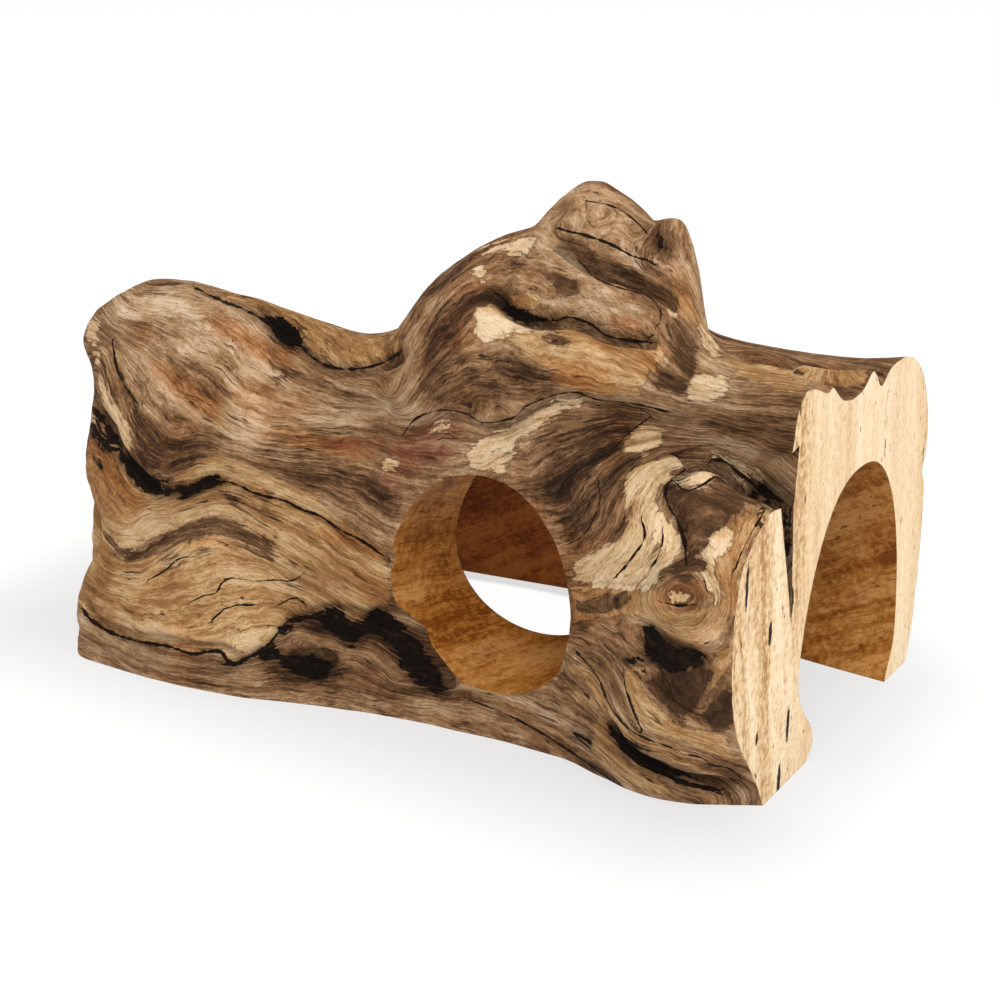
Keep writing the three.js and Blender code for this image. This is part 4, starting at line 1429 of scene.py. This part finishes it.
FLOAT = "NodeSocketFloat"
VECTOR = "NodeSocketVector"
WOOD_SPECULAR = 0.06
WORN_EDGE = 0.9        # how far wear rounds an edge
Socket = bpy.types.NodeSocket
Value = Union[Socket, float]


@dataclass
class Graph:
    """Short calls that add nodes to a node tree and give back the socket that is used next.

    Args:
        tree: the node tree.
    """

    tree: bpy.types.NodeTree

    def add(self, kind: str, inputs: dict, **settings: object) -> bpy.types.Node:
        """Adds a node.

        Args:
            kind: its type.
            inputs: values or sockets for its inputs, by name or number.
            settings: its other settings.

        Returns:
            The node.
        """
        node = self.tree.nodes.new(kind)
        for name, value in settings.items():
            setattr(node, name, value)
        for key, value in inputs.items():
            if isinstance(value, Socket):
                self.tree.links.new(value, node.inputs[key])
            else:
                node.inputs[key].default_value = value
        return node

    def feed(self, node: bpy.types.Node, values: dict) -> None:
        """Links sockets to a node's inputs, by name."""
        for name, value in values.items():
            self.tree.links.new(value, node.inputs[name])

    def math(self, operation: str, a: Value, b: Value = 0.0) -> Socket:
        """One arithmetic step."""
        return self.add("ShaderNodeMath", {0: a, 1: b}, operation=operation).outputs[0]

    def total(self, *terms: tuple) -> Socket:
        """The sum of (socket, factor) terms.

        Args:
            terms: the terms.

        Returns:
            The sum.
        """
        result = self.math("MULTIPLY", *terms[0])
        for socket, factor in terms[1:]:
            sum_up = self.add("ShaderNodeMath", {0: socket, 1: factor, 2: result}, operation="MULTIPLY_ADD")
            result = sum_up.outputs[0]
        return result

    def scaled(self, vector: Union[Socket, tuple], factor: Value) -> Socket:
        """A vector times a number."""
        return self.add("ShaderNodeVectorMath", {0: vector, "Scale": factor}, operation="SCALE").outputs[0]

    def stretched(self, vector: Socket, scale: tuple) -> Socket:
        """A vector with a factor for each axis."""
        return self.add("ShaderNodeMapping", {"Vector": vector, "Scale": scale}).outputs[0]

    def joined(self, x: Value, y: Value, z: Value) -> Socket:
        """A vector from its three parts."""
        return self.add("ShaderNodeCombineXYZ", {0: x, 1: y, 2: z}).outputs[0]

    def parts(self, vector: Socket) -> tuple:
        """The three parts of a vector."""
        return tuple(self.add("ShaderNodeSeparateXYZ", {0: vector}).outputs)

    def place(self) -> Socket:
        """The place on the object, in millimetres."""
        return self.scaled(self.add("ShaderNodeTexCoord", {}).outputs["Object"], PER_METRE)

    def noise(self, vector: Socket, scale: float, detail: float = 3.0, roughness: float = 0.55) -> Socket:
        """Fractal noise from 0 to 1."""
        inputs = {"Vector": vector, "Scale": scale, "Detail": detail, "Roughness": roughness}
        return self.add("ShaderNodeTexNoise", inputs).outputs["Fac"]

    def swing(self, vector: Socket, scale: float, detail: float = 3.0, roughness: float = 0.55) -> Socket:
        """Fractal noise about 0."""
        return self.math("SUBTRACT", self.noise(vector, scale, detail, roughness), 0.5)

    def span(self, value: Value, low: float, high: float, first: float = 0.0, last: float = 1.0) -> Socket:
        """A value carried smoothly from the range low to high to the range first to last, and held in it."""
        inputs = {"Value": value, "From Min": low, "From Max": high, "To Min": first, "To Max": last}
        return self.add("ShaderNodeMapRange", inputs, interpolation_type="SMOOTHSTEP").outputs[0]

    def ellipse(self, a: Socket, b: Socket, centre: tuple, reach: tuple) -> Socket:
        """How far out a place lies from a centre.

        Args:
            a: the place's first coordinate.
            b: its second one.
            centre: the centre.
            reach: half sizes of an ellipse round it.

        Returns:
            A value that is 1 on the ellipse, and grows with the square of the distance.
        """
        squares = []
        for value, middle, size in zip((a, b), centre, reach):
            off = self.math("DIVIDE", self.math("SUBTRACT", value, middle), size)
            squares.append(self.math("MULTIPLY", off, off))
        return self.math("ADD", *squares)

    def ramp(self, value: Socket, stops: tuple) -> Socket:
        """Colours along a value.

        Args:
            value: the value.
            stops: (place, colour) stops.

        Returns:
            The colour.
        """
        node = self.add("ShaderNodeValToRGB", {"Fac": value})
        band = node.color_ramp
        while len(band.elements) < len(stops):
            band.elements.new(0.5)
        for element, (place, colour) in zip(band.elements, stops):
            element.position = place
            element.color = colour
        return node.outputs["Color"]

    def mix(self, factor: Value, a: Socket, b: Union[Socket, tuple], blend: str = "MIX") -> Socket:
        """Colour b laid over colour a."""
        node = self.add("ShaderNodeMix", {"Factor": factor, 6: a, 7: b}, data_type="RGBA", blend_type=blend)
        return node.outputs[2]

    def coats(self, colour: Socket, *coats: tuple) -> Socket:
        """Lays coats over a colour, one after the other.

        Args:
            colour: the colour below.
            coats: (mask, strength, colour) of each coat.

        Returns:
            The colour on top.
        """
        for mask, strength, paint in coats:
            factor = mask if strength == 1 else self.math("MULTIPLY", mask, strength)
            colour = self.mix(factor, colour, paint)
        return colour

    def attribute(self, name: str) -> Socket:
        """A value kept on the mesh."""
        return self.add("ShaderNodeAttribute", {}, attribute_name=name).outputs["Fac"]

    def use(self, group: bpy.types.NodeTree, **inputs: Value) -> dict:
        """Another node group, as a dictionary of its outputs."""
        node = self.add("ShaderNodeGroup", inputs, node_tree=group)
        return {socket.name: socket for socket in node.outputs}


def new_group(name: str, inputs: dict, outputs: dict) -> tuple:
    """A shader node group.

    Args:
        name: its name.
        inputs: socket types by name.
        outputs: socket types by name.

    Returns:
        The graph, its input sockets by name and its output node.
    """
    tree = bpy.data.node_groups.new(name, "ShaderNodeTree")
    for socket, kind in inputs.items():
        tree.interface.new_socket(name=socket, in_out="INPUT", socket_type=kind)
    for socket, kind in outputs.items():
        tree.interface.new_socket(name=socket, in_out="OUTPUT", socket_type=kind)
    source = tree.nodes.new("NodeGroupInput")
    result = tree.nodes.new("NodeGroupOutput")
    return Graph(tree), {s.name: s for s in source.outputs if s.name}, result


def start(name: str, roughness: float) -> tuple:
    """A new material.

    Args:
        name: its name.
        roughness: its roughness.

    Returns:
        The material, its graph and its shader.
    """
    material = bpy.data.materials.new(name)
    material.use_nodes = True
    shader = next(n for n in material.node_tree.nodes if n.type == "BSDF_PRINCIPLED")
    shader.inputs["Roughness"].default_value = roughness
    shader.inputs["Specular IOR Level"].default_value = WOOD_SPECULAR
    return material, Graph(material.node_tree), shader


def relief(g: Graph, height: Socket) -> Socket:
    """The normal of a surface with a height in millimetres and worn edges."""
    worn = g.add("ShaderNodeBevel", {"Radius": WORN_EDGE * MM}, samples=4).outputs[0]
    return g.add("ShaderNodeBump", {"Height": height, "Distance": MM, "Normal": worn}).outputs[0]


@dataclass
class Effects:
    """The node groups that the finishes share."""

    groups: dict = field(default_factory=dict)

    def build(self) -> None:
        """Builds each group once."""
        self.groups = {
            "grain": self.grain(),
            "ragged": self.ragged(),
            "patch": self.patch(),
            "crack": self.crack(),
            "flecks": self.flecks(),
        }

    def grain(self) -> bpy.types.NodeTree:
        """Streaks that run along the grain: broad zones, bands, fine streaks and thin dark lines.

        Returns:
            The group.
        """
        outputs = {name: FLOAT for name in ("Broad", "Band", "Fine", "Lines", "Mottled")}
        outputs["Along"] = VECTOR
        g, given, result = new_group("Grain", {"Across": FLOAT, "Place": VECTOR}, outputs)
        place = given["Place"]
        stretch = 0.06
        wave = g.swing(place, 0.032, 2.0)
        ripple = g.swing(place, 0.13, 4.0, 0.6)
        across = g.total((given["Across"], 1.0), (wave, 5.0), (ripple, 2.2))
        x, y, z = g.parts(place)
        along = g.joined(across, g.math("MULTIPLY", x, stretch), g.total((y, stretch), (z, stretch)))
        line = g.math("ABSOLUTE", g.swing(along, 0.16, 3.0, 0.5))
        where = g.span(g.noise(place, 0.06, 2.0), 0.47, 0.60)
        g.feed(result, {
            "Broad": g.noise(along, 0.07, 2.0),
            "Band": g.noise(along, 0.26, 3.0, 0.6),
            "Fine": g.noise(g.stretched(along, (1.0, 1.5, 1.5)), 1.05, 3.0, 0.85),
            "Lines": g.math("MULTIPLY", g.span(line, 0.003, 0.012, 1.0, 0.0), where),
            "Along": along,
            "Mottled": g.noise(place, 0.42, 4.0, 0.65),
        })
        return g.tree

    def ragged(self) -> bpy.types.NodeTree:
        """How far a ragged edge strays from its outline, in millimetres.

        Returns:
            The group.
        """
        g, given, result = new_group("Ragged", {"Place": VECTOR, "Along": VECTOR}, {"Stray": FLOAT})
        big = g.swing(given["Place"], 0.10)
        torn = g.swing(given["Along"], 0.50, 4.0, 0.65)
        small = g.swing(given["Place"], 0.6)
        g.feed(result, {"Stray": g.total((big, 3.0), (torn, 8.0), (small, 2.2))})
        return g.tree

    def patch(self) -> bpy.types.NodeTree:
        """A patch with a ragged edge, from the distance inside its outline: sharp, soft, and a thin line just
        outside its edge for a painted shadow.

        Returns:
            The group.
        """
        inputs = {"Inside": FLOAT, "Stray": FLOAT}
        g, given, result = new_group("Patch", inputs, {"Mask": FLOAT, "Soft": FLOAT, "RimShadow": FLOAT})
        inside = g.math("ADD", given["Inside"], given["Stray"])
        rim = g.math("ABSOLUTE", g.math("ADD", inside, 0.35))
        g.feed(result, {
            "Mask": g.span(inside, -0.1, 0.3),
            "Soft": g.span(inside, -3.0, 3.0),
            "RimShadow": g.span(rim, 0.1, 0.55, 1.0, 0.0),
        })
        return g.tree

    def crack(self) -> bpy.types.NodeTree:
        """A crack of uneven width, from the place across it and the distance to it.

        Returns:
            The group.
        """
        inputs = {"Across": FLOAT, "Gap": FLOAT, "Place": VECTOR}
        g, given, result = new_group("Crack", inputs, {"Mask": FLOAT})
        uneven = g.span(g.noise(given["Place"], 0.22), 0.3, 0.7, 0.2, 1.5)
        width = g.math("DIVIDE", g.math("ABSOLUTE", given["Across"]), uneven)
        line = g.span(width, 0.75, 1.25, 1.0, 0.0)
        near = g.span(given["Gap"], 2.0, 2.6, 1.0, 0.0)
        g.feed(result, {"Mask": g.math("MULTIPLY", line, near)})
        return g.tree

    def flecks(self) -> bpy.types.NodeTree:
        """Short flecks along the grain: pores, and longer slits.

        Returns:
            The group.
        """
        g, given, result = new_group("Flecks", {"Along": VECTOR}, {"Pores": FLOAT, "Slits": FLOAT})
        along = g.stretched(given["Along"], (1.0, 3.5, 3.5))
        g.feed(result, {
            "Pores": g.span(g.noise(along, 1.1, 2.0), 0.66, 0.72),
            "Slits": g.span(g.noise(along, 0.42, 3.0, 0.6), 0.68, 0.71),
        })
        return g.tree


@dataclass(frozen=True)
class WeatheredWood:
    """The weathered outside.

    Args:
        effects: the shared node groups.
        name: the material's name.
        roughness: its roughness.
        middle: what is taken off the summed grain to give the tone.
        plain: colours of weathered wood, from dark to light.
        honey: colours of honey patches.
        pale: colours of cream patches.
        bark: colours of bark.
        red: colours of the red knots.
        charred: colours inside the black pits, which are partly painted shade.
    """

    effects: Effects
    name: str = "weathered_wood"
    roughness: float = 0.7
    middle: float = 1.09
    plain: tuple = (
        (0.12, WEATHERED_UMBER), (0.27, UMBER), (0.38, BROWN), (0.50, MID_BROWN), (0.60, TAN), (0.74, SAND),
        (0.90, LIGHT_SAND))
    honey: tuple = (
        (0.18, HONEY_DARK), (0.34, HONEY_BROWN), (0.50, HONEY), (0.64, LIGHT_HONEY), (0.84, CREAM))
    pale: tuple = ((0.22, HONEY_BROWN), (0.38, LIGHT_HONEY), (0.53, CREAM), (0.74, LIGHT_CREAM))
    bark: tuple = ((0.20, WEATHERED_UMBER), (0.48, UMBER), (0.66, BROWN), (0.86, TAN))
    red: tuple = ((0.28, UMBER), (0.46, RUSSET), (0.72, TAN))
    charred: tuple = ((0.52, PIT_BLACK), (0.66, WEATHERED_UMBER), (0.80, UMBER))

    def material(self) -> bpy.types.Material:
        """Makes the finish.

        Returns:
            The material.
        """
        material, g, shader = start(self.name, self.roughness)
        groups = self.effects.groups
        place = g.place()
        grain = g.use(groups["grain"], Across=g.attribute("grain"), Place=place)
        stray = g.use(groups["ragged"], Place=place, Along=grain["Along"])["Stray"]
        masks = {look: g.use(groups["patch"], Inside=g.attribute(look.value), Stray=stray) for look in Look}
        across, gap = g.attribute("crack"), g.attribute("crack_gap")
        crack = g.use(groups["crack"], Across=across, Gap=gap, Place=place)["Mask"]
        flecks = g.use(groups["flecks"], Along=grain["Along"])
        tone = self.tone(g, place, grain, masks)
        colour = self.wood(g, place, tone, masks)
        colour = self.damage(g, colour, grain, flecks, masks)
        g.feed(shader, {"Base Color": g.mix(crack, colour, CRACK_AND_SHADE_DARK)})
        height = g.total(
            (grain["Fine"], 1.5), (grain["Band"], 1.6), (grain["Lines"], -0.8), (flecks["Slits"], -0.6),
            (masks[Look.PALE]["Mask"], -0.4), (masks[Look.HONEY]["Mask"], -0.25),
            (masks[Look.BARK]["Mask"], 0.5), (masks[Look.CHAR_AND_SHADE]["Mask"], -1.2), (crack, -1.2),
            (grain["Mottled"], 1.4), (g.noise(place, 1.3, 3.0, 0.6), 0.5))
        g.feed(shader, {"Normal": relief(g, height)})
        return material

    def tone(self, g: Graph, place: Socket, grain: dict, masks: dict) -> Socket:
        """How light the wood is, from its grain, the weather and painted shade.

        Args:
            g: the material's graph.
            place: the place in millimetres.
            grain: outputs of the grain.
            masks: outputs of the patches of each look.

        Returns:
            The tone, about 0 to 1.
        """
        # the shade patches, and the dark patches in part, are painted shade
        dark = g.math("MULTIPLY", masks[Look.DARK]["Soft"], 0.20)
        shade = g.math("MULTIPLY", masks[Look.SHADE]["Soft"], 0.30)
        darkest = g.math("MAXIMUM", dark, shade)
        tone = g.total(
            (grain["Broad"], 0.55), (grain["Band"], 0.85), (grain["Fine"], 1.05), (g.noise(place, 0.05), 0.5),
            (grain["Mottled"], 0.3), (masks[Look.LIGHT]["Soft"], 0.15), (darkest, -1.0))
        return g.math("SUBTRACT", tone, self.middle)

    def wood(self, g: Graph, place: Socket, tone: Socket, masks: dict) -> Socket:
        """The weathered wood with its red, honey, rust, cream and bark patches.

        Args:
            g: the material's graph.
            place: the place in millimetres.
            tone: the tone.
            masks: outputs of the patches of each look.

        Returns:
            The colour.
        """
        colour = g.coats(g.ramp(tone, self.plain), (masks[Look.RED]["Soft"], 1, g.ramp(tone, self.red)),
                         (masks[Look.HONEY]["Mask"], 1, g.ramp(tone, self.honey)))
        stains = g.span(g.noise(place, 0.035), 0.50, 0.72, 0.0, 0.7)
        colour = g.mix(g.math("MAXIMUM", masks[Look.RUST]["Soft"], stains), colour, RUST, "MULTIPLY")
        return g.coats(colour, (masks[Look.PALE]["Mask"], 1, g.ramp(tone, self.pale)),
                       (masks[Look.BARK]["Mask"], 1, g.ramp(tone, self.bark)))

    def damage(self, g: Graph, colour: Socket, grain: dict, flecks: dict, masks: dict) -> Socket:
        """Painted shadow lines round patch edges, dark grain lines, pores, slits, painted shade in the narrow
        creases, and black pits that are partly painted shade, on the wood.

        Args:
            g: the material's graph.
            colour: the wood's colour.
            grain: outputs of the grain.
            flecks: outputs of the flecks.
            masks: outputs of the patches of each look.

        Returns:
            The colour.
        """
        # painted shadow: a thin dark line round the edges of the pale, bark and honey patches
        rim_shadows = g.math("MAXIMUM", masks[Look.PALE]["RimShadow"], masks[Look.BARK]["RimShadow"])
        rim_shadows = g.math("MAXIMUM", rim_shadows, masks[Look.HONEY]["RimShadow"])
        # painted shade: the narrow creases are darkened towards black
        creases = g.span(g.attribute("crease"), 2.1, 5.2, 0.0, 0.6)
        # the black pits and hollows, and the darker ground round them, are partly painted shade
        pit_tone = g.total((grain["Band"], 0.5), (grain["Mottled"], 0.6), (grain["Fine"], 0.4))
        charred = g.ramp(g.math("SUBTRACT", pit_tone, 0.25), self.charred)
        return g.coats(
            colour, (rim_shadows, 0.3, UMBER), (grain["Lines"], 0.75, WEATHERED_UMBER),
            (flecks["Pores"], 0.55, UMBER), (flecks["Slits"], 0.85, CRACK_AND_SHADE_DARK), (creases, 1, CRACK_AND_SHADE_DARK),
            (masks[Look.CHAR_AND_SHADE]["Soft"], 0.75, WEATHERED_UMBER), (masks[Look.CHAR_AND_SHADE]["Mask"], 1, charred))


@dataclass(frozen=True)
class SawnWood:
    """The sawn end: cream wood with fine brown flecks, streakier in the front foot.

    Args:
        effects: the shared node groups.
        name: the material's name.
        roughness: its roughness.
        foot: y at which the front foot ends, and y at which its streaks are gone.
        middle: what is taken off the summed grain.
        light: tone of the plain wood.
        stops: its colours, from dark to light.
        slits: y, z, half width and half height of the slits and holes.
    """

    effects: Effects
    name: str = "sawn_wood"
    roughness: float = 0.6
    foot: tuple = (-38.0, -26.0)
    middle: float = 1.25
    light: float = 0.63
    stops: tuple = (
        (0.22, HONEY), (0.36, LIGHT_HONEY), (0.50, CREAM), (0.66, SAWN_CREAM), (0.82, SAWN_PALE))
    slits: tuple = (
        (-56.0, 62.0, 1.5, 4.5),
        (-75.5, 84.0, 1.2, 9.0),
        (-40.0, 67.0, 1.8, 6.0),
        (-37.0, 22.0, 1.4, 7.5),
        (-42.0, 4.0, 1.6, 7.0),
        (-62.0, 28.0, 1.0, 3.0),
    )

    def material(self) -> bpy.types.Material:
        """Makes the finish.

        Returns:
            The material.
        """
        material, g, shader = start(self.name, self.roughness)
        groups = self.effects.groups
        place = g.place()
        x, y, z = g.parts(place)
        grain = g.use(groups["grain"], Across=g.total((y, 0.9), (z, 0.15)), Place=g.joined(z, y, x))
        flecks = g.use(groups["flecks"], Along=grain["Along"])
        foot = g.span(y, *self.foot, 1.0, 0.0)
        contrast = g.math("ADD", g.math("MULTIPLY", foot, 0.7), 0.7)
        streaks = g.total(
            (grain["Broad"], 0.8), (grain["Band"], 0.5), (grain["Fine"], 0.5), (grain["Mottled"], 0.7))
        streaks = g.math("MULTIPLY", g.math("SUBTRACT", streaks, self.middle), contrast)
        tone = g.math("ADD", g.total((streaks, 1.0), (foot, -0.13)), self.light)
        colour = g.coats(
            g.ramp(tone, self.stops), (grain["Lines"], 0.45, HONEY_BROWN), (flecks["Slits"], 0.9, UMBER),
            (flecks["Pores"], 0.6, HONEY_BROWN))
        for slit_y, slit_z, wide, high in self.slits:
            off = g.ellipse(y, z, (slit_y, slit_z), (wide, high))
            off = g.total((off, 1.0), (grain["Mottled"], 1.6), (grain["Fine"], 0.8))
            colour = g.mix(g.span(off, 1.7, 2.3, 1.0, 0.0), colour, WEATHERED_UMBER)
        height = g.total((grain["Fine"], 0.35), (flecks["Slits"], -0.5), (g.noise(place, 0.9, 4.0), 0.25))
        g.feed(shader, {"Base Color": colour, "Normal": relief(g, height)})
        return material


@dataclass(frozen=True)
class CarvedWood:
    """Smoothly carved, orange-brown wood with slanting streaks and fine dark flecks.

    Args:
        effects: the shared node groups.
        name: the material's name.
        palest: tone of the lightest streaks.
        painted_shade_inside: whether painted shade darkens the wood away from the sawn end.
        roughness: its roughness.
        middle: what is taken off the summed grain to give the tone.
        painted_shade_to: x up to which the painted shade is darkest, and x from which there is none.
    """

    effects: Effects
    name: str
    palest: float
    painted_shade_inside: bool
    roughness: float = 0.5
    middle: float = 1.39
    painted_shade_to: tuple = (50.0, 130.0)

    def material(self) -> bpy.types.Material:
        """Makes the finish.

        Returns:
            The material.
        """
        material, g, shader = start(self.name, self.roughness)
        groups = self.effects.groups
        place = g.place()
        x, y, z = g.parts(place)
        grain = g.use(groups["grain"], Across=g.total((z, 0.85), (x, -0.45), (y, 0.2)), Place=place)
        flecks = g.use(groups["flecks"], Along=grain["Along"])
        tone = g.total(
            (grain["Broad"], 0.9), (grain["Band"], 0.7), (grain["Fine"], 0.6), (grain["Mottled"], 0.9),
            (g.noise(place, 0.045), 0.7))
        tone = g.math("SUBTRACT", tone, self.middle)
        stops = ((0.30, CARVED_DARK), (0.50, CARVED_MID), (self.palest, CARVED_LIGHT))
        colour = g.coats(
            g.ramp(tone, stops), (grain["Lines"], 0.5, HONEY_DARK), (flecks["Pores"], 0.7, UMBER),
            (flecks["Slits"], 0.35, UMBER))
        # painted shade: the chamber wood darkens away from the sawn end
        if self.painted_shade_inside:
            colour = g.mix(g.span(x, *self.painted_shade_to, 1.0, 0.0), colour, DEEP_SHADE, "MULTIPLY")
        height = g.total((grain["Fine"], 0.4), (grain["Band"], 0.4), (flecks["Pores"], -0.3))
        g.feed(shader, {"Base Color": colour, "Normal": relief(g, height)})
        return material


@dataclass
class Hide:
    """The finished block.

    Args:
        materials: its materials in the order of Region.
        hard_edge: angle in degrees from which an edge stays sharp.
        neighbours: vertices of the skin that a vertex of the block takes its values from.
    """

    materials: list
    hard_edge: float = 50.0
    neighbours: int = 3

    def build(self) -> bpy.types.Object:
        """Skins the root, cuts it, and carries the looks of the outside onto it.

        Returns:
            The block.
        """
        skin = Skin()
        skin.lay()
        skin.weather()
        skin.trim()
        log.info("skin: %d vertices", len(skin.points))
        fields = Surface(skin).fields()
        piece = make_object("java_wood_block", skin.points, skin.faces, Region.OUTSIDE, self.materials)
        cuts = (
            Split(), Chamber(), Doorway(),
            Saw("end_saw", (END_X, -FAR, -FAR), (FAR, FAR, FAR)),
            Saw("base_saw", (-FAR, -FAR, -FAR), (FAR, FAR, 0)),
        )
        for cut in cuts:
            tool = cut.tool(self.materials)
            self.cut(piece, tool)
            log.info("%s: %d faces", tool.name, len(piece.data.polygons))
            bpy.data.objects.remove(tool)
        self.carry(piece, skin, fields)
        self.shade(piece)
        return piece

    def cut(self, piece: bpy.types.Object, tool: bpy.types.Object) -> None:
        """Takes a tool's shape out of the piece.

        Args:
            piece: the piece.
            tool: the tool.
        """
        modifier = piece.modifiers.new("cut", "BOOLEAN")
        modifier.operation = "DIFFERENCE"
        modifier.solver = "MANIFOLD"
        modifier.object = tool
        graph = bpy.context.evaluated_depsgraph_get()
        mesh = bpy.data.meshes.new_from_object(piece.evaluated_get(graph))
        piece.modifiers.remove(modifier)
        old = piece.data
        piece.data = mesh
        bpy.data.meshes.remove(old)

    def carry(self, piece: bpy.types.Object, skin: Skin, fields: dict) -> None:
        """Puts the skin's values on the piece's vertices.

        Args:
            piece: the piece.
            skin: the skin.
            fields: one value for each of the skin's vertices, by name.
        """
        mesh = piece.data
        tree = tree_of(skin.points)
        table = np.stack(list(fields.values()), 1)
        values = np.zeros((len(mesh.vertices), len(fields)), np.float32)
        for i, vertex in enumerate(mesh.vertices):
            found = tree.find_n(vertex.co / MM, self.neighbours)
            weight = np.array([1 / (far + 0.02) ** 2 for _, _, far in found])
            values[i] = weight @ table[[k for _, k, _ in found]] / weight.sum()
        for j, name in enumerate(fields):
            layer = mesh.attributes.new(name, "FLOAT", "POINT")
            layer.data.foreach_set("value", values[:, j].copy())

    def shade(self, piece: bpy.types.Object) -> None:
        """Smooth shading, with hard edges where two regions meet and round the saw cuts.

        Args:
            piece: the piece.
        """
        mesh = piece.data
        mesh.polygons.foreach_set("use_smooth", [True] * len(mesh.polygons))
        shape = bmesh.new()
        shape.from_mesh(mesh)
        limit = math.radians(self.hard_edge)
        for edge in shape.edges:
            faces = edge.link_faces
            if len(faces) == 2:
                same = faces[0].material_index == faces[1].material_index
                edge.smooth = same and edge.calc_face_angle(0) < limit
        shape.to_mesh(mesh)
        shape.free()


@dataclass
class Studio:
    """The floor, the light and the camera, in metres where nothing else is said.

    Args:
        floor_half: half the floor's side.
        floor_grey: how light the floor is.
        near: the floor's glow beside the block, lowered there as a painted shadow.
        far: its glow away from the block.
        fade: millimetres over which it changes.
        lamps: name, place, side and power of the square lamps.
        aim: what they are aimed at.
        daylight: strength of the light from all round.
    """

    floor_half: float = 6.0
    floor_grey: float = 0.14
    near: float = 0.69
    far: float = 0.92
    fade: float = 95.0
    lamps: tuple = (
        ("key_light", (0.8, -1.2, 1.7), 1.0, 24.0),
        ("side_light", (1.7, -0.2, 0.9), 1.0, 9.0),
        ("top_light", (-0.5, 0.2, 1.8), 1.2, 10.0),
    )
    aim: tuple = (0, 0, 0.08)
    daylight: float = 0.5

    def build(self) -> None:
        """Sets everything up."""
        self.floor()
        for lamp in self.lamps:
            self.light(*lamp)
        self.world()
        self.camera()

    def floor(self) -> None:
        """A plain pale floor that glows, a little less beside the block as a painted shadow and most under
        the chamber as painted light.
        """
        mesh = bpy.data.meshes.new("floor")
        half = self.floor_half
        corners = [(-half, -half, 0), (half, -half, 0), (half, half, 0), (-half, half, 0)]
        mesh.from_pydata(corners, [], [(0, 1, 2, 3)])
        piece = bpy.data.objects.new("floor", mesh)
        bpy.context.scene.collection.objects.link(piece)
        material, g, shader = start("floor_painted_shadow_and_light", 0.9)
        shader.inputs["Base Color"].default_value = (self.floor_grey, self.floor_grey, self.floor_grey, 1)
        shader.inputs["Specular IOR Level"].default_value = 0.0
        shader.inputs["Emission Strength"].default_value = 1.0
        x, y, _ = g.parts(g.place())
        # painted shadow: the floor glows less beside the block
        beside = self.beside(g, (x, y), (-12.0, -5.0), (137.0, 60.0))
        glow_with_painted_shadow = g.span(beside, 0.0, self.fade, self.near, self.far)
        # painted light: the floor glows brightest under the chamber, where no lamp shines
        ring = g.math("SQRT", g.ellipse(x, y, (20.0, 24.0), (110.0, 42.0)))
        under = g.span(ring, 0.85, 1.1, 0.98, 0.0)
        g.feed(shader, {"Emission Color": g.scaled((1, 0.995, 0.99), g.math("MAXIMUM", glow_with_painted_shadow, under))})
        mesh.materials.append(material)

    def beside(self, g: Graph, place: tuple, centre: tuple, half: tuple) -> Socket:
        """How far a place on the floor lies outside a rectangle.

        Args:
            g: the material's graph.
            place: x and y of the place.
            centre: centre of the rectangle.
            half: its half sizes.

        Returns:
            The distance in millimetres.
        """
        squares = []
        for value, middle, size in zip(place, centre, half):
            off = g.math("ABSOLUTE", g.math("SUBTRACT", value, middle))
            off = g.math("MAXIMUM", g.math("SUBTRACT", off, size), 0.0)
            squares.append(g.math("MULTIPLY", off, off))
        return g.math("SQRT", g.math("ADD", *squares))

    def light(self, name: str, place: tuple, size: float, power: float) -> None:
        """A square soft light aimed at the block.

        Args:
            name: its name.
            place: where it stands.
            size: its side.
            power: its power in watts.
        """
        data = bpy.data.lights.new(name, "AREA")
        data.size = size
        data.energy = power
        lamp = bpy.data.objects.new(name, data)
        lamp.location = place
        lamp.rotation_euler = (Vector(self.aim) - Vector(place)).to_track_quat("-Z", "Y").to_euler()
        bpy.context.scene.collection.objects.link(lamp)

    def world(self) -> None:
        """White light from all round."""
        world = bpy.data.worlds.new("studio")
        world.use_nodes = True
        back = next(n for n in world.node_tree.nodes if n.type == "BACKGROUND")
        back.inputs["Color"].default_value = (1, 1, 1, 1)
        back.inputs["Strength"].default_value = self.daylight
        bpy.context.scene.world = world

    def camera(self) -> None:
        """The photograph's camera."""
        data = bpy.data.cameras.new("camera")
        data.sensor_width = SENSOR
        data.lens = SENSOR * FOCAL_PIXELS / PHOTO_SIZE
        camera = bpy.data.objects.new("camera", data)
        camera.location = CAMERA_PLACE * MM
        camera.rotation_mode = "QUATERNION"
        camera.rotation_quaternion = Vector(AHEAD).to_track_quat("-Z", "Y")
        bpy.context.scene.collection.objects.link(camera)
        bpy.context.scene.camera = camera
        bpy.context.scene.view_settings.view_transform = "Standard"


def main() -> None:
    """Builds the block and the studio."""
    logging.basicConfig(level=logging.INFO, format="%(message)s")
    effects = Effects()
    effects.build()
    finishes = (
        WeatheredWood(effects),
        SawnWood(effects),
        CarvedWood(effects, "chamber_wood", 0.732, True),
        CarvedWood(effects, "doorway_wood", 0.76, False),
    )
    piece = Hide([finish.material() for finish in finishes]).build()
    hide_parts(NODE)
    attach(piece, "root")
    log.info("%s: %d faces", piece.name, len(piece.data.polygons))
    Studio().build()


if __name__ == "__main__":
    main()
